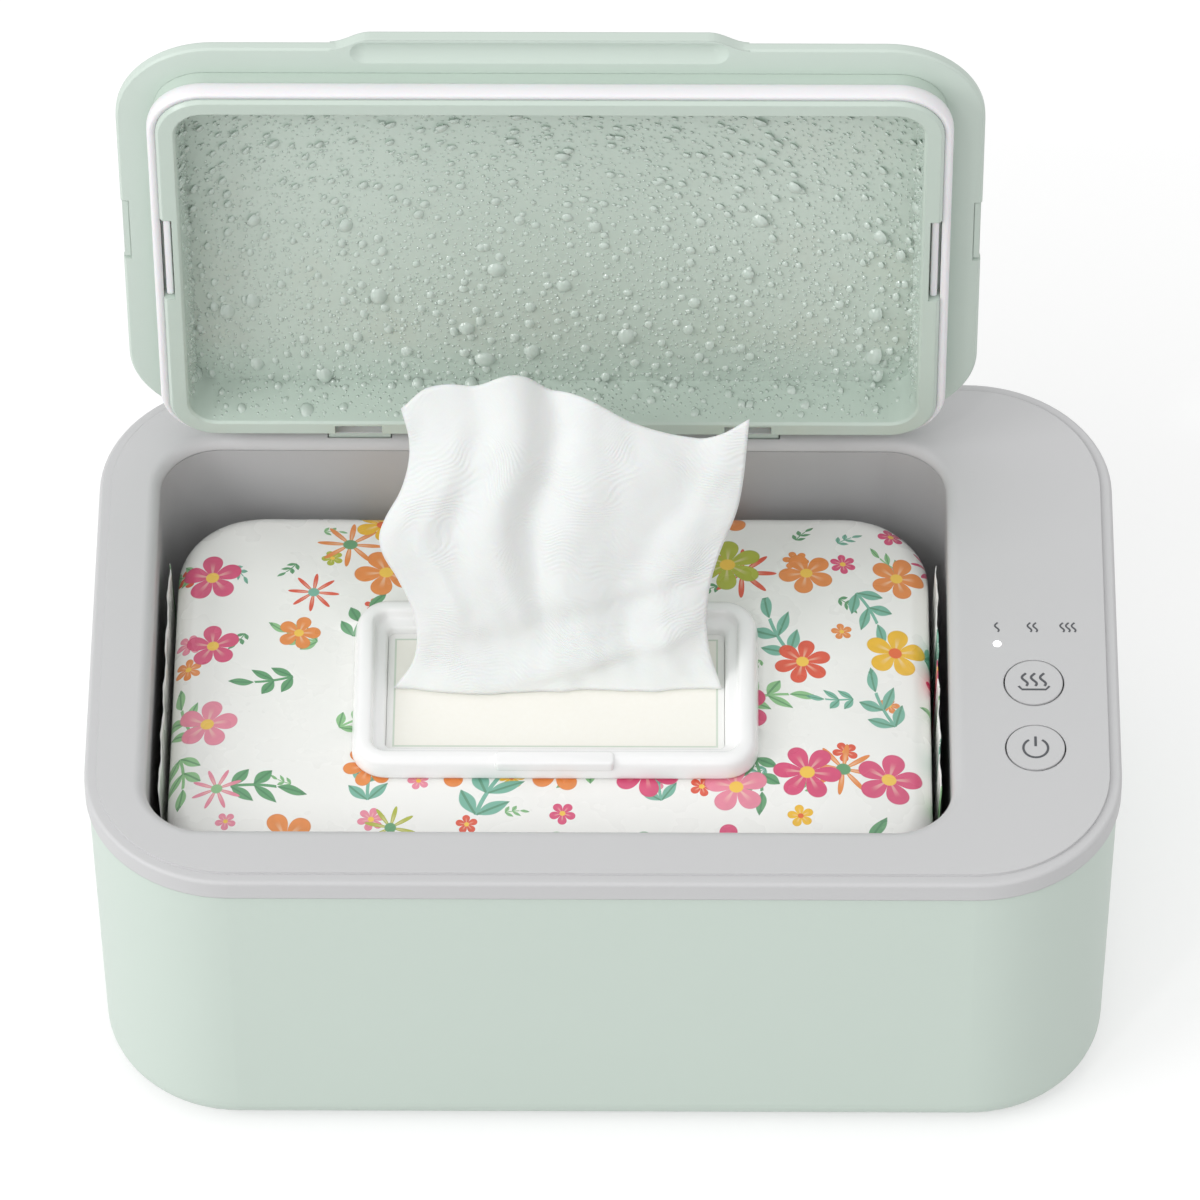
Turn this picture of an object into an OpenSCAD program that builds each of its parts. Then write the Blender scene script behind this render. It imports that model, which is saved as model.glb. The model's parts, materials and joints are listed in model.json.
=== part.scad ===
// Baby wipe warmer with its lid open and a pack of wipes in the well.
// +X to the right, +Y to the back, +Z up; the origin is the middle of the footprint at the table.

/* [Body] */
// Width of the body over the bezel
body_w = 260; // [240:1:290]
// Depth of the body over the bezel
body_d = 170; // [165:1:190]
// Height from the table to the top of the bezel
body_h = 100; // [96:1:130]
// Plan radius of the body's upright corners
corner_r = 37; // [32:1:42]
// Thickness of the outer shell
shell_wall = 3; // [2.4:0.1:3.6]
// How much the shell draws in on each side towards its bottom
shell_taper = 1.5; // [0.5:0.1:3]
// Radius of the shell's bottom edge
shell_fillet = 8; // [6:0.5:12]
// Height of the shell's bottom edge over the table
foot_gap = 1.5; // [1:0.1:3]

/* [Bezel] */
// Thickness of the bezel's top plate
bezel_t = 3; // [2.6:0.1:4]
// Height of the bezel's outer band
band_h = 6.5; // [5.5:0.5:10]
// Thickness of the bezel's outer band
band_t = 1.8; // [1.4:0.1:2.4]
// Width of the lowered strip along the bezel's edge
strip_w = 3; // [2:0.5:5]
// Drop of that strip below the top
strip_drop = 0.7; // [0.4:0.1:1.2]
// How far the shell lies behind the band's outer face
shell_inset = 0.8; // [0.5:0.1:1.5]

/* [Well] */
// Gap from the well's left wall to the left side of the body
well_left = 15.5; // [14:0.5:20]
// Width of the control panel, from the well's right wall to the right side of the body
panel_w = 42.5; // [41:0.5:48]
// Gap from the well's front wall to the front of the body
well_front = 18; // [17:0.5:22]
// Gap from the well's back wall to the back of the body
well_back = 22; // [20:0.5:26]
// Radius of the well's upright corners
well_r = 15; // [10:1:20]
// Radius of the rounded rim of the well
rim_r = 3; // [2:0.25:4]
// Thickness of the tank's walls and floor
tank_t = 2; // [1.5:0.1:2.5]
// Height of the tank's floor over the table
tank_floor_z = 16; // [15:0.5:20]

/* [Lid] */
// Margin of the lid's flange beyond the well on the left and right
flange_side = 7.5; // [6:0.5:9]
// Margin of the lid's flange beyond the well at the front
flange_front = 5.8; // [4.5:0.1:8]
// Margin of the lid's flange beyond the well at the back
flange_back = 2.2; // [1.5:0.1:2.4]
// Plan radius of the flange's corners
flange_r = 25; // [20:1:30]
// Thickness of the flange's edge
flange_t = 3; // [2.5:0.1:4]
// Gap between the closed flange and the bezel
lid_gap = 0.4; // [0.3:0.1:1]
// Height of the lid's outer face over the flange's underside
lid_rise = 8.6; // [8:0.1:10]
// Width over which the lid's outer face rises
lid_slope_w = 14; // [12:1:20]
// Thickness of the lid's outer face
lid_wall = 2.2; // [1.8:0.1:2.6]
// Reach of the liner's rim below the flange
plug_drop = 9.5; // [7:0.5:10]
// Width of the liner's rim
plug_rim = 5; // [4:0.5:6]
// Depth of the liner's dish below its rim
dish_depth = 13.5; // [11:0.5:14]
// Gap from the liner to the well's side walls
plug_side_gap = 2.8; // [2.4:0.1:4]
// Gap from the liner to the well's front wall
plug_front_gap = 3.4; // [2.6:0.1:6]
// Gap from the liner to the well's back wall
plug_back_gap = 1.4; // [1.2:0.1:2]
// Gap from the seal to the well's walls
seal_gap = 0.5; // [0.3:0.1:1]
// Height of the seal
seal_h = 4.5; // [3:0.5:5]
// Gap from the flange to the seal, which the liner's collar fills
seal_neck = 4; // [3:0.5:4.5]
// Angle of the open lid
open_angle = 88.5; // [80:0.5:92]
// Width of the finger tab
tab_w = 104; // [70:1:120]
// Reach of the finger tab beyond the flange
tab_reach = 3.3; // [2:0.1:5]

/* [Hinge] */
// Distance from the well's back wall to the hinge axis
hinge_back = 5.5; // [5.4:0.1:6]
// Depth of the hinge axis below the bezel's top
hinge_drop = 0.5; // [0.3:0.1:1.2]
// Radius of the lid's hinge knuckles
knuckle_r = 3.2; // [2.8:0.1:3.3]
// Length of each knuckle
knuckle_l = 16; // [12:1:20]
// Distance of each knuckle from the lid's middle
knuckle_x = 50; // [40:1:60]
// Radius of the hinge pins
pin_r = 1.25; // [1:0.05:1.5]

/* [Controls] */
// Radius of the button caps
button_r = 7.3; // [6:0.1:8]
// Travel of the buttons
button_travel = 0.8; // [0.4:0.1:1]
// Distance of the buttons from the right side of the body
button_side = 21.5; // [20:0.5:24]
// Distance of the heat button from the front of the body
button_front = 66.3; // [62:0.1:70]
// Distance between the two buttons
button_pitch = 21.7; // [18:0.1:26]
// Distance of the row of lamps behind the heat button
lamp_back = 13.1; // [12:0.1:16]
// Distance between the lamps
lamp_pitch = 9; // [7:0.1:10]

/* [Contents] */
// Height of the pack of wipes
pack_h = 68; // [50:1:70]
// Gap from the pack to the well's side walls
pack_side_gap = 4; // [4:0.5:8]
// Gap from the pack to the well's front wall
pack_front_gap = 1.5; // [1:0.5:5]
// Gap from the pack to the well's back wall
pack_back_gap = 6; // [4:0.5:10]
// Width of the pack's hard frame
frame_w = 103; // [90:1:110]
// Depth of the pack's hard frame
frame_d = 57; // [50:1:64]
// Height of the pack's hard frame
frame_h = 6; // [4:0.5:6.5]
// Width of the wipe that stands out of the pack
wipe_w = 90; // [60:1:100]
// Height of the wipe over the pack
wipe_h = 80; // [40:1:90]

/* [Hidden] */
$fn = 72;
fit = 0.3;               // gap between neighbours that are fitted, not pressed
running = 0.05;          // radial gap of a pin in its knuckle
bite = 0.5;              // overlap that joins two shapes of one piece
arc_steps = 8;

// Body
shell_foot_in = shell_inset + shell_taper;
cavity_r = shell_fillet - shell_wall;
ledge_w = 6;             // width of the ledge that the base plate lies on
base_t = 2.5;
base_z = foot_gap + shell_wall;
base_top_z = base_z + base_t;
base_in = shell_foot_in + shell_fillet + fit;
ledge_in = base_in + ledge_w;
rabbet_in = band_t + fit;
band_z = body_h - band_h;
plate_z = body_h - bezel_t;

// Well and tank
well_w = body_w - well_left - panel_w;
well_d = body_d - well_front - well_back;
well_x = (well_left - panel_w) / 2;
well_back_y = body_d / 2 - well_back;
well_y = well_back_y - well_d / 2;
well_right_x = well_x + well_w / 2;
tank_top_z = plate_z - 0.2;
tank_lip_w = 2.2;
tank_base_z = tank_floor_z - tank_t;
plate_in = 2;            // the heating plate is this much smaller than the tank's floor
heat_plate_t = 1.5;
film_t = 0.5;
film_in = 6;
pad_in = 16;
pad_top_z = tank_base_z - heat_plate_t - film_t;
sensor_y = 24;           // places of the sensor and the fuse along the well, and over its floor
sensor_up = 20;
sensor_z = tank_floor_z + sensor_up;
sensor_size = [1.2, 8, 10];
fuse_y = 34;
fuse_up = 14;
fuse_z = tank_floor_z + fuse_up;
fuse_l = 18;

// Ears that hold the tank under the bezel
ear_x = [60, 26];        // distance of the front and back ears from the well's middle
ear_r = 3.6;
ear_t = 2.4;
ear_top_z = plate_z - 9;
ear_out = tank_t + ear_r + 0.6;
screw_r = 1.25;
screw_head_r = 2.6;
screw_head_t = 1.8;
pilot_gap = 0.05;
base_screw_l = 4;        // length of a screw in its post
tank_screw_l = 7;
board_screw_l = 6;

// Lid
lid_x = well_x;
flange_z = body_h + lid_gap;
flange_w = well_w + 2 * flange_side;
flange_d = well_d + flange_front + flange_back;
flange_y = well_y + (flange_back - flange_front) / 2;
lid_top_z = flange_z + lid_rise;
plug_w = well_w - 2 * plug_side_gap;
plug_d = well_d - plug_front_gap - plug_back_gap;
plug_y = well_y + (plug_front_gap - plug_back_gap) / 2;
plug_r = well_r - plug_side_gap;
plug_z = flange_z - plug_drop;
dish_z = plug_z + dish_depth;
liner_t = lid_top_z - lid_wall - 0.2 - dish_z;
dish_draft = 1.5;
dish_r = plug_r - plug_rim;
shoulder_h = 2.4;        // the liner's outside steps in at this height over the flange's underside
shoulder_in = 4.6;       // by this much, which keeps it under the slope of the cover at the back
notch_side = [2.9, 29.4]; // depth and length of the notches in the rim's sides
side_front = 4.3;        // the notches and insets at the sides lie this far in front of the middle
notch_y = plug_y - side_front;
notch_back = [12, 3.6];  // width and depth of the notches in the rim's back
seal_w = well_w - 2 * seal_gap;
seal_back = 0.8;         // reach of the seal beyond the liner at the back
seal_front = plug_front_gap - 1.4;
seal_d = plug_d + seal_front + seal_back;
seal_y = plug_y + (seal_back - seal_front) / 2;
seal_round = 1.6;
seal_top_z = flange_z - seal_neck;
seal_z = seal_top_z - seal_h;
collar_out = 0.8;        // the liner's collar keeps the seal down and rests on the flange
notch_h = 4.2;           // height of the notches in the rim
tab_x = lid_x - 2.5;
tab_ramp = 10;           // length of the tab's curved ends
tab_in = 0.25;           // the curves start this far inside the flange's edge
scoop_rim = 0.9;         // lip that is left outside the hollow
scoop_d = 7.4;           // width, length and depth of the hollow under the tab
scoop_w = tab_w - tab_ramp;
scoop_t = 1.2;
scoop_r = (pow(scoop_d / 2, 2) + pow(scoop_t, 2)) / (2 * scoop_t);
catch_l = 21.6;          // length of the inset in each side of the flange
catch_w = 2;
catch_y = well_y - side_front;
rib_in = 0.7;            // gap between the seal and its ribs, which fill the notches
rib_w = 1.8;
rib_l = notch_side.y - 0.6;
rib_h = notch_h - 1.5;
rib_top_z = plug_z + notch_h - 0.1;
web_t = 1;               // the web that holds a rib to the seal

// Hinge
hinge_y = well_back_y + hinge_back;
hinge_z = body_h - hinge_drop;
pocket_r = knuckle_r + 0.4;
pocket_wall = 1.6;
pocket_h = 20;
pin_l = knuckle_l + 2 * (fit + pocket_wall);
pocket_z = hinge_z - pocket_r - pocket_wall;

// Controls
button_x = body_w / 2 - button_side;
heat_y = button_front - body_d / 2;
button_y = [heat_y, heat_y - button_pitch];
lamp_y = heat_y + lamp_back;
button_gap = 0.4;
cap_top_z = body_h + 0.2;
collar_t = 1.6;
collar_w = 1.5;
stem_r = 2.2;
board_t = 1.6;
board_drop = 14;         // depth of the control board below the bezel's top
board_z = body_h - board_drop;
board_w = 28;
board_d = 66;
board_front = 4.3;       // the board's middle lies this far in front of the heat button
board_y = heat_y - board_front;
chips = [[-4, 4, 8, 8, 1.4], [-10, -8, 4, 3, 1], [5, -12, 4, 3, 1]];
can = [9, 12, 2.5, 5];   // place from the board's middle, radius and height
switch_s = 6;
switch_h = 3.5;
switch_bore_r = 2;
switch_bore_h = 2;
plunger_r = 1.7;
plunger_top_z = board_z + board_t + switch_h + button_travel + 0.7;
lamp_s = 2.4;
lamp_h = 1.1;
pipe_r = 1.1;
lamp_skin = 0.6;         // the lamps shine through this much of the bezel
board_post_r = 2.6;
board_post_in = [3, 4];  // distance of a post from the board's edges
board_posts = [for (x = [-1, 1], y = [-1, 1])
    [x * (board_w / 2 - board_post_in.x), y * (board_d / 2 - board_post_in.y)]];
ribbon_plug = [4, 12, 5];
ribbon_band = [0.8, 8];
ribbon_back = 15;        // distance of the flat cable behind the control board's middle
ribbon_y = board_y + ribbon_back;

// Power parts
power_w = 26;
power_d = 66;
power_x = well_right_x + tank_t + 3 + power_w / 2;
power_z = base_top_z + 3;
power_y = ribbon_y;
power_cans = [[2, -22, 5, 14], [-11, 14, 1.6, 8]];
power_blocks = [[-5, 10, 14, 16, 12], [-8, -16, 5, 8, 9]];
inlet_side = 58;         // distance of the inlet from the right side of the body
inlet_x = body_w / 2 - inlet_side;
inlet_z = 19;
inlet_hole_r = 5.2;
jack_w = 11;
jack_l = 11.4;
jack_r = 3;
jack_pin_r = 1;
back_wall_y = body_d / 2 - shell_inset - shell_taper - shell_wall;

// Posts for the base screws and the feet
post_r = 3.5;
post_in = 11;            // distance of a post from the corner's centre, along X and Y
post_top_z = base_top_z + 5;
foot_r = 7;
foot_in = -3;            // distance of a foot from the corner's centre

// Contents
pack_w = well_w - 2 * pack_side_gap;
pack_d = well_d - pack_front_gap - pack_back_gap;
pack_y = well_y + (pack_front_gap - pack_back_gap) / 2;
pack_z = tank_floor_z;
pack_top_z = pack_z + pack_h;
pack_r = 22;
pack_edge = 7;
fin_t = 0.8;
fin_h = 34;
fin_in = 22;
frame_x = well_x + 1.2;
frame_y = pack_y - 5;
frame_r = 9;
frame_wall = 8.5;
frame_opening = [frame_w - 2 * frame_wall, frame_d - 2 * frame_wall];
frame_edge = 1.6;
latch_w = 30;
latch_in = 1.4;
latch_h = 1.2;
label_t = 0.8;
wipe_x = frame_x + 0.6;
wipe_y = frame_y + 3;
wipe_t = 0.7;
wipe_lean = 24;          // degrees that the wipe leans to the back
wipe_z = pack_top_z + label_t + fit;
wipe_cols = 24;
wipe_rows = 16;

mint = [0.80, 0.86, 0.82];
grey = [0.80, 0.80, 0.81];
white = [0.95, 0.95, 0.94];
board_green = [0.10, 0.35, 0.20];
steel = [0.75, 0.76, 0.78];

// ---- Shared shapes ----

// Outline of a rectangle with round corners
module round_rect(w, d, r) {
    union() {
        square([w - 2 * r, d], center = true);
        square([w, d - 2 * r], center = true);
        for (x = [-1, 1], y = [-1, 1])
            translate([x * (w / 2 - r), y * (d / 2 - r)]) circle(r);
    }
}

// Plate with that outline, from z0 to z1
module plate(w, d, r, z0, z1) {
    translate([0, 0, z0]) linear_extrude(z1 - z0) round_rect(w, d, r);
}

// Sweeps a section round a rectangle with round corners. In the section, x is the
// distance outwards from the corner's centre, so r is the outline itself, and y is the height.
module ring(w, d, r) {
    for (i = [0:3]) {
        side = [[1, 1], [-1, 1], [-1, -1], [1, -1]][i];
        run = [d, w][i % 2] / 2 - r;
        reach = [w, d][i % 2] / 2 - r;
        translate([side.x * (w / 2 - r), side.y * (d / 2 - r), 0]) rotate([0, 0, 90 * i])
            rotate_extrude(angle = 90) children();
        rotate([0, 0, 90 * i]) translate([reach, run, 0]) rotate([90, 0, 0])
            linear_extrude(2 * run) children();
    }
}

// Points of an arc about c, from angle a to angle b
function arc(c, r, a, b) = [for (i = [0:arc_steps]) let (t = a + (b - a) * i / arc_steps)
    c + r * [cos(t), sin(t)]];

// Moves a shape from the closed lid to the open lid
module opened() {
    translate([0, hinge_y, hinge_z]) rotate([-open_angle, 0, 0])
        translate([0, -hinge_y, -hinge_z]) children();
}

// Places children at the four corners' centres, moved outwards by d along X and Y
module at_corners(d) {
    for (x = [-1, 1], y = [-1, 1])
        translate([x * (body_w / 2 - corner_r + d), y * (body_d / 2 - corner_r + d), 0]) children();
}

// Places children at the tank's four ears
module at_ears() {
    for (s = [-1, 1]) {
        translate([well_x + s * ear_x[0], well_y - well_d / 2 - ear_out, 0]) children();
        translate([well_x + s * ear_x[1], well_y + well_d / 2 + ear_out, 0]) rotate([0, 0, 180])
            children();
    }
}

module at_board_posts() {
    for (p = board_posts) translate([button_x + p.x, board_y + p.y, 0]) children();
}

module rod(r, z0, z1) {
    translate([0, 0, z0]) cylinder(r = r, h = z1 - z0);
}

module along_x(x0, x1, r) {
    translate([x0, 0, 0]) rotate([0, 90, 0]) cylinder(r = r, h = x1 - x0);
}

// ---- Casing ----

// Half section of the shell: wall with its taper, bottom edge, ledge and the step under the band
module shell_section() {
    r = corner_r;
    foot = r - shell_foot_in;
    c = [foot - shell_fillet, foot_gap + shell_fillet];
    top = band_z - fit;
    polygon(concat(
        [[r - ledge_in, foot_gap]],
        arc(c, shell_fillet, -90, 0),
        [[r - shell_inset, top], [r - rabbet_in, top], [r - rabbet_in, plate_z - fit],
         [r - shell_inset - shell_wall, plate_z - fit], [r - shell_inset - shell_wall, top - 4]],
        arc(c, cavity_r, 0, -90),
        [[r - ledge_in, base_z]]));
}

// Post for a base screw, with the rib that ties it to the wall
module shell_post() {
    rib_l = corner_r - shell_foot_in - shell_wall / 2 - post_in * sqrt(2);
    difference() {
        union() {
            rod(post_r, base_top_z, post_top_z);
            rotate([0, 0, 45]) translate([0, -1, base_top_z + 0.6]) cube([rib_l, 2, 4]);
        }
        rod(screw_r + pilot_gap, base_top_z - 1, post_top_z - 1);
    }
}

module outer_shell() {
    color(mint) difference() {
        union() {
            ring(body_w, body_d, corner_r) shell_section();
            for (i = [0:3]) {
                s = [[1, 1], [-1, 1], [-1, -1], [1, -1]][i];
                translate([s.x * (body_w / 2 - corner_r + post_in),
                    s.y * (body_d / 2 - corner_r + post_in), 0]) rotate([0, 0, 90 * i]) shell_post();
            }
        }
        translate([inlet_x, body_d / 2 + 1, inlet_z]) rotate([90, 0, 0])
            cylinder(r = inlet_hole_r, h = shell_wall + shell_foot_in + 3);
    }
}

module base_plate() {
    vent = [3, 26];
    color(white) difference() {
        union() {
            plate(body_w - 2 * base_in, body_d - 2 * base_in, corner_r - base_in, base_z, base_top_z);
            for (x = [-1, 1], y = [-1, 1])
                translate([power_x + x * (power_w / 2 - 4), power_y + y * (power_d / 2 - 4), 0])
                    rod(2.5, base_top_z - bite, power_z);
            translate([inlet_x - jack_w / 2, back_wall_y - fit - jack_l, base_top_z - bite])
                cube([jack_w, jack_l - cavity_r, inlet_z - jack_w / 2 - base_top_z + bite]);
        }
        at_corners(post_in) rod(screw_r + 0.3, base_z - 1, base_top_z + 1);
        for (s = [-1, 1], i = [0:6])
            translate([well_x + s * 52 + (i - 3) * 7 - vent.x / 2, -vent.y / 2, base_z - 1])
                cube([vent.x, vent.y, base_t + 2]);
    }
}

// Section of the bezel's edge: lowered strip, rounded arris and outer band
module bezel_edge_section() {
    r = corner_r;
    strip_z = body_h - strip_drop;
    polygon(concat(
        [[r - strip_w - 4, plate_z], [r - strip_w - 4, body_h], [r - strip_w, body_h],
         [r - strip_w, strip_z]],
        arc([r - 1, strip_z - 1], 1, 90, 0),
        [[r, band_z], [r - band_t, band_z], [r - band_t, plate_z]]));
}

// Section of the rounded rim of the well
module rim_section() {
    r = well_r;
    difference() {
        translate([r, plate_z]) square([rim_r + 2, bezel_t]);
        difference() {
            translate([r - 1, body_h - rim_r]) square([rim_r + 1, rim_r + 1]);
            translate([r + rim_r, body_h - rim_r]) circle(rim_r);
        }
    }
}

module hinge_pockets(grow) {
    for (s = [-1, 1])
        translate([lid_x + s * knuckle_x - knuckle_l / 2 - fit - grow, hinge_y - pocket_r - grow,
            hinge_z - pocket_r - grow])
            cube([knuckle_l + 2 * fit + 2 * grow, 2 * pocket_r + 2 * grow, pocket_h]);
}

module top_bezel() {
    flat_out = 2 * (strip_w + 1);
    color(grey) difference() {
        union() {
            ring(body_w, body_d, corner_r) bezel_edge_section();
            translate([well_x, well_y, 0]) ring(well_w, well_d, well_r) rim_section();
            translate([0, 0, plate_z]) linear_extrude(bezel_t) difference() {
                round_rect(body_w - flat_out, body_d - flat_out, corner_r - strip_w - 1);
                translate([well_x, well_y]) round_rect(well_w + 2 * rim_r, well_d + 2 * rim_r,
                    well_r + rim_r);
            }
            intersection() {
                hinge_pockets(pocket_wall);
                translate([-body_w / 2, well_back_y + tank_lip_w + 0.1, pocket_z])
                    cube([body_w, 2 * pocket_r + pocket_wall + 2, plate_z + 1 - pocket_z]);
            }
            at_ears() rod(ear_r - 0.4, ear_top_z, plate_z + bite);
            at_board_posts() rod(board_post_r, board_z + board_t, plate_z + bite);
        }
        intersection() {
            hinge_pockets(0);
            translate([-body_w / 2, 0, 0]) cube([body_w, body_d, 2 * body_h]);
        }
        for (s = [-1, 1]) translate([lid_x + s * knuckle_x - pin_l / 2 - 0.1, hinge_y, hinge_z])
            along_x(0, pin_l + 0.2, pin_r);
        at_ears() rod(screw_r + pilot_gap, ear_top_z - 1, plate_z);
        at_board_posts() rod(screw_r + pilot_gap, board_z, plate_z);
        for (y = button_y) translate([button_x, y, 0]) rod(button_r + button_gap, plate_z - 1, body_h + 1);
        for (i = [-1:1]) translate([button_x + i * lamp_pitch, lamp_y, 0])
            rod(pipe_r + 0.2, plate_z - 1, body_h - lamp_skin);
    }
}

module tank_section() {
    r = well_r;
    polygon([[r, tank_base_z], [r + tank_t, tank_base_z], [r + tank_t, tank_top_z - 2],
        [r + tank_lip_w, tank_top_z - 2], [r + tank_lip_w, tank_top_z], [r, tank_top_z]]);
}

module well_tank() {
    color(grey) difference() {
        union() {
            translate([well_x, well_y, 0]) {
                ring(well_w, well_d, well_r) tank_section();
                plate(well_w + 1, well_d + 1, well_r + 0.5, tank_base_z, tank_floor_z);
            }
            at_ears() {
                rod(ear_r, ear_top_z - ear_t, ear_top_z);
                translate([-ear_r, 0, ear_top_z - ear_t]) cube([2 * ear_r, ear_out - 1, ear_t]);
            }
        }
        at_ears() rod(screw_r + 0.2, ear_top_z - ear_t - 1, ear_top_z + 1);
    }
}

module rubber_feet() {
    color([0.25, 0.25, 0.26]) at_corners(foot_in) union() {
        rod(foot_r, 0.8, base_z);
        cylinder(r1 = foot_r - 0.8, r2 = foot_r, h = 0.8);
    }
}

// A screw that points up, with its head under z
module screw(z, length) {
    union() {
        rod(screw_r, z - bite, z + length);
        difference() {
            rod(screw_head_r, z - screw_head_t, z);
            for (a = [0, 90]) rotate([0, 0, a])
                translate([-1.6, -0.3, z - screw_head_t - 1]) cube([3.2, 0.6, 1.8]);
        }
    }
}

module base_screws() {
    color(steel) at_corners(post_in) screw(base_z, base_t + base_screw_l);
}

module tank_screws() {
    color(steel) at_ears() screw(ear_top_z - ear_t, ear_t + tank_screw_l);
}

module board_screws() {
    color(steel) at_board_posts() screw(board_z, board_t + board_screw_l);
}

// ---- Heating ----

module heating_plate() {
    color(steel) translate([well_x, well_y, 0])
        plate(well_w - 2 * plate_in, well_d - 2 * plate_in, well_r - plate_in,
            tank_base_z - heat_plate_t, tank_base_z);
}

module heater_film() {
    color([0.75, 0.35, 0.15]) translate([well_x, well_y, 0])
        plate(well_w - 2 * film_in, well_d - 2 * film_in, well_r - film_in, pad_top_z, pad_top_z + film_t);
}

module insulation_pad() {
    color([0.9, 0.9, 0.86]) translate([well_x, well_y, 0])
        plate(well_w - 2 * pad_in, well_d - 2 * pad_in, 4, base_top_z, pad_top_z);
}

module temperature_sensor() {
    color([0.2, 0.2, 0.2]) translate([well_right_x + tank_t, well_y + sensor_y, sensor_z])
        translate([0.1, -sensor_size.y / 2, 0]) union() {
            cube(sensor_size);
            translate([1, sensor_size.y / 2, sensor_size.z / 2]) rotate([0, 90, 0])
                cylinder(r = 2.6, h = 2.4);
        }
}

module thermal_fuse() {
    color(steel) translate([well_right_x + tank_t + 0.1, well_y - fuse_y, fuse_z]) union() {
        translate([0, -3, -3]) cube([1.2, 6, 6]);
        translate([2.8, fuse_l / 2, 0]) rotate([90, 0, 0]) cylinder(r = 2, h = fuse_l);
    }
}

// Two short wires from the heating plate's edge to the power board
module heater_leads() {
    x0 = well_right_x - plate_in;
    x1 = power_x - power_w / 2 + 3;
    z0 = tank_base_z - heat_plate_t / 2;
    color([0.75, 0.15, 0.12]) for (y = [-3, 3]) translate([0, power_y + y, z0]) union() {
        along_x(x0, x1, 0.7);
        translate([x1, 0, 0]) sphere(0.7);
        translate([x1, 0, 0]) rod(0.7, power_z + board_t - z0, 0);
    }
}

// ---- Electronics ----

module control_board() {
    color(board_green) difference() {
        translate([button_x - board_w / 2, board_y - board_d / 2, board_z]) cube([board_w, board_d, board_t]);
        at_board_posts() rod(screw_r + 0.2, board_z - 1, board_z + board_t + 1);
    }
}

module board_chips() {
    z = board_z + board_t;
    color([0.12, 0.12, 0.13]) {
        for (c = chips) translate([button_x + c[0], board_y + c[1], board_z - c[4]]) cube([c[2], c[3], c[4]]);
        translate([button_x + can[0], board_y + can[1], z]) rod(can[2], 0, can[3]);
    }
}

module tact_switch(y) {
    z = board_z + board_t;
    color([0.2, 0.2, 0.21]) translate([button_x, y, 0]) difference() {
        translate([-switch_s / 2, -switch_s / 2, z]) cube([switch_s, switch_s, switch_h]);
        rod(switch_bore_r, z + switch_h - switch_bore_h, z + switch_h + 1);
    }
}

module heat_switch() { tact_switch(button_y[0]); }

module power_switch() { tact_switch(button_y[1]); }

module indicator_leds() {
    color(white) for (i = [-1:1])
        translate([button_x + i * lamp_pitch - lamp_s / 2, lamp_y - lamp_s / 2, board_z + board_t])
            cube([lamp_s, lamp_s, lamp_h]);
}

module light_pipes() {
    color([0.92, 0.95, 0.97]) for (i = [-1:1]) translate([button_x + i * lamp_pitch, lamp_y, 0])
        rod(pipe_r, board_z + board_t + lamp_h + 0.1, body_h - lamp_skin - 0.1);
}

// Flat cable between the two boards, with its connectors
module ribbon_cable() {
    x = power_x + power_w / 2 - ribbon_plug.x;
    z0 = power_z + board_t;
    color([0.85, 0.85, 0.83]) union() {
        for (z = [z0, board_z - ribbon_plug.z])
            translate([x - ribbon_plug.x / 2, ribbon_y - ribbon_plug.y / 2, z]) cube(ribbon_plug);
        translate([x - ribbon_band.x / 2, ribbon_y - ribbon_band.y / 2, z0 + ribbon_plug.z - bite])
            cube([ribbon_band.x, ribbon_band.y, board_z - z0 - 2 * ribbon_plug.z + 2 * bite]);
    }
}

module power_board() {
    color(board_green) translate([power_x - power_w / 2, power_y - power_d / 2, power_z])
        cube([power_w, power_d, board_t]);
}

module power_parts() {
    z = power_z + board_t;
    color([0.15, 0.15, 0.17]) translate([power_x, power_y, z]) {
        for (c = power_cans) translate([c[0], c[1], 0]) cylinder(r = c[2], h = c[3]);
        for (c = power_blocks) translate([c[0], c[1], 0]) cube([c[2], c[3], c[4]]);
    }
}

// Two wires from the jack to the power board
module inlet_leads() {
    y0 = back_wall_y - fit - jack_l;
    y1 = power_y + power_d / 2 - 4;
    color([0.75, 0.15, 0.12]) for (i = [0, 1]) translate([0, 0, inlet_z - 2 + 4 * i]) {
        x = inlet_x;
        lane = y0 - 1.6;
        far = power_x - 7 + 4 * i;
        translate([x, y0, 0]) rotate([90, 0, 0]) cylinder(r = 0.7, h = 1.6);
        translate([x, lane, 0]) sphere(0.7);
        translate([0, lane, 0]) along_x(x, far, 0.7);
        translate([far, lane, 0]) sphere(0.7);
        translate([far, lane, 0]) rotate([90, 0, 0]) cylinder(r = 0.7, h = lane - y1);
        translate([far, y1, 0]) sphere(0.7);
        translate([far, y1, 0]) rod(0.7, power_z + board_t - (inlet_z - 2 + 4 * i), 0);
    }
}

module dc_inlet() {
    y0 = back_wall_y - fit - jack_l;
    color([0.1, 0.1, 0.1]) translate([inlet_x, y0, inlet_z]) union() {
        difference() {
            translate([-jack_w / 2, 0, -jack_w / 2]) cube([jack_w, jack_l, jack_w]);
            translate([0, 1.5, 0]) rotate([-90, 0, 0]) cylinder(r = jack_r, h = jack_l);
        }
        translate([0, 1, 0]) rotate([-90, 0, 0]) cylinder(r = jack_pin_r, h = jack_l - 2);
    }
}

// ---- Controls ----

module button_cap(y) {
    collar_z = plate_z - fit - collar_t;
    color(grey) translate([button_x, y, 0]) union() {
        rod(button_r, collar_z + bite, cap_top_z);
        rod(button_r + button_gap + collar_w, collar_z, collar_z + collar_t);
        rod(stem_r, plunger_top_z, collar_z + bite);
    }
}

module plunger(y) {
    bottom = board_z + board_t + switch_h - switch_bore_h + button_travel + fit;
    color([0.12, 0.12, 0.12]) translate([button_x, y, 0]) rod(plunger_r, bottom, plunger_top_z);
}

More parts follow.
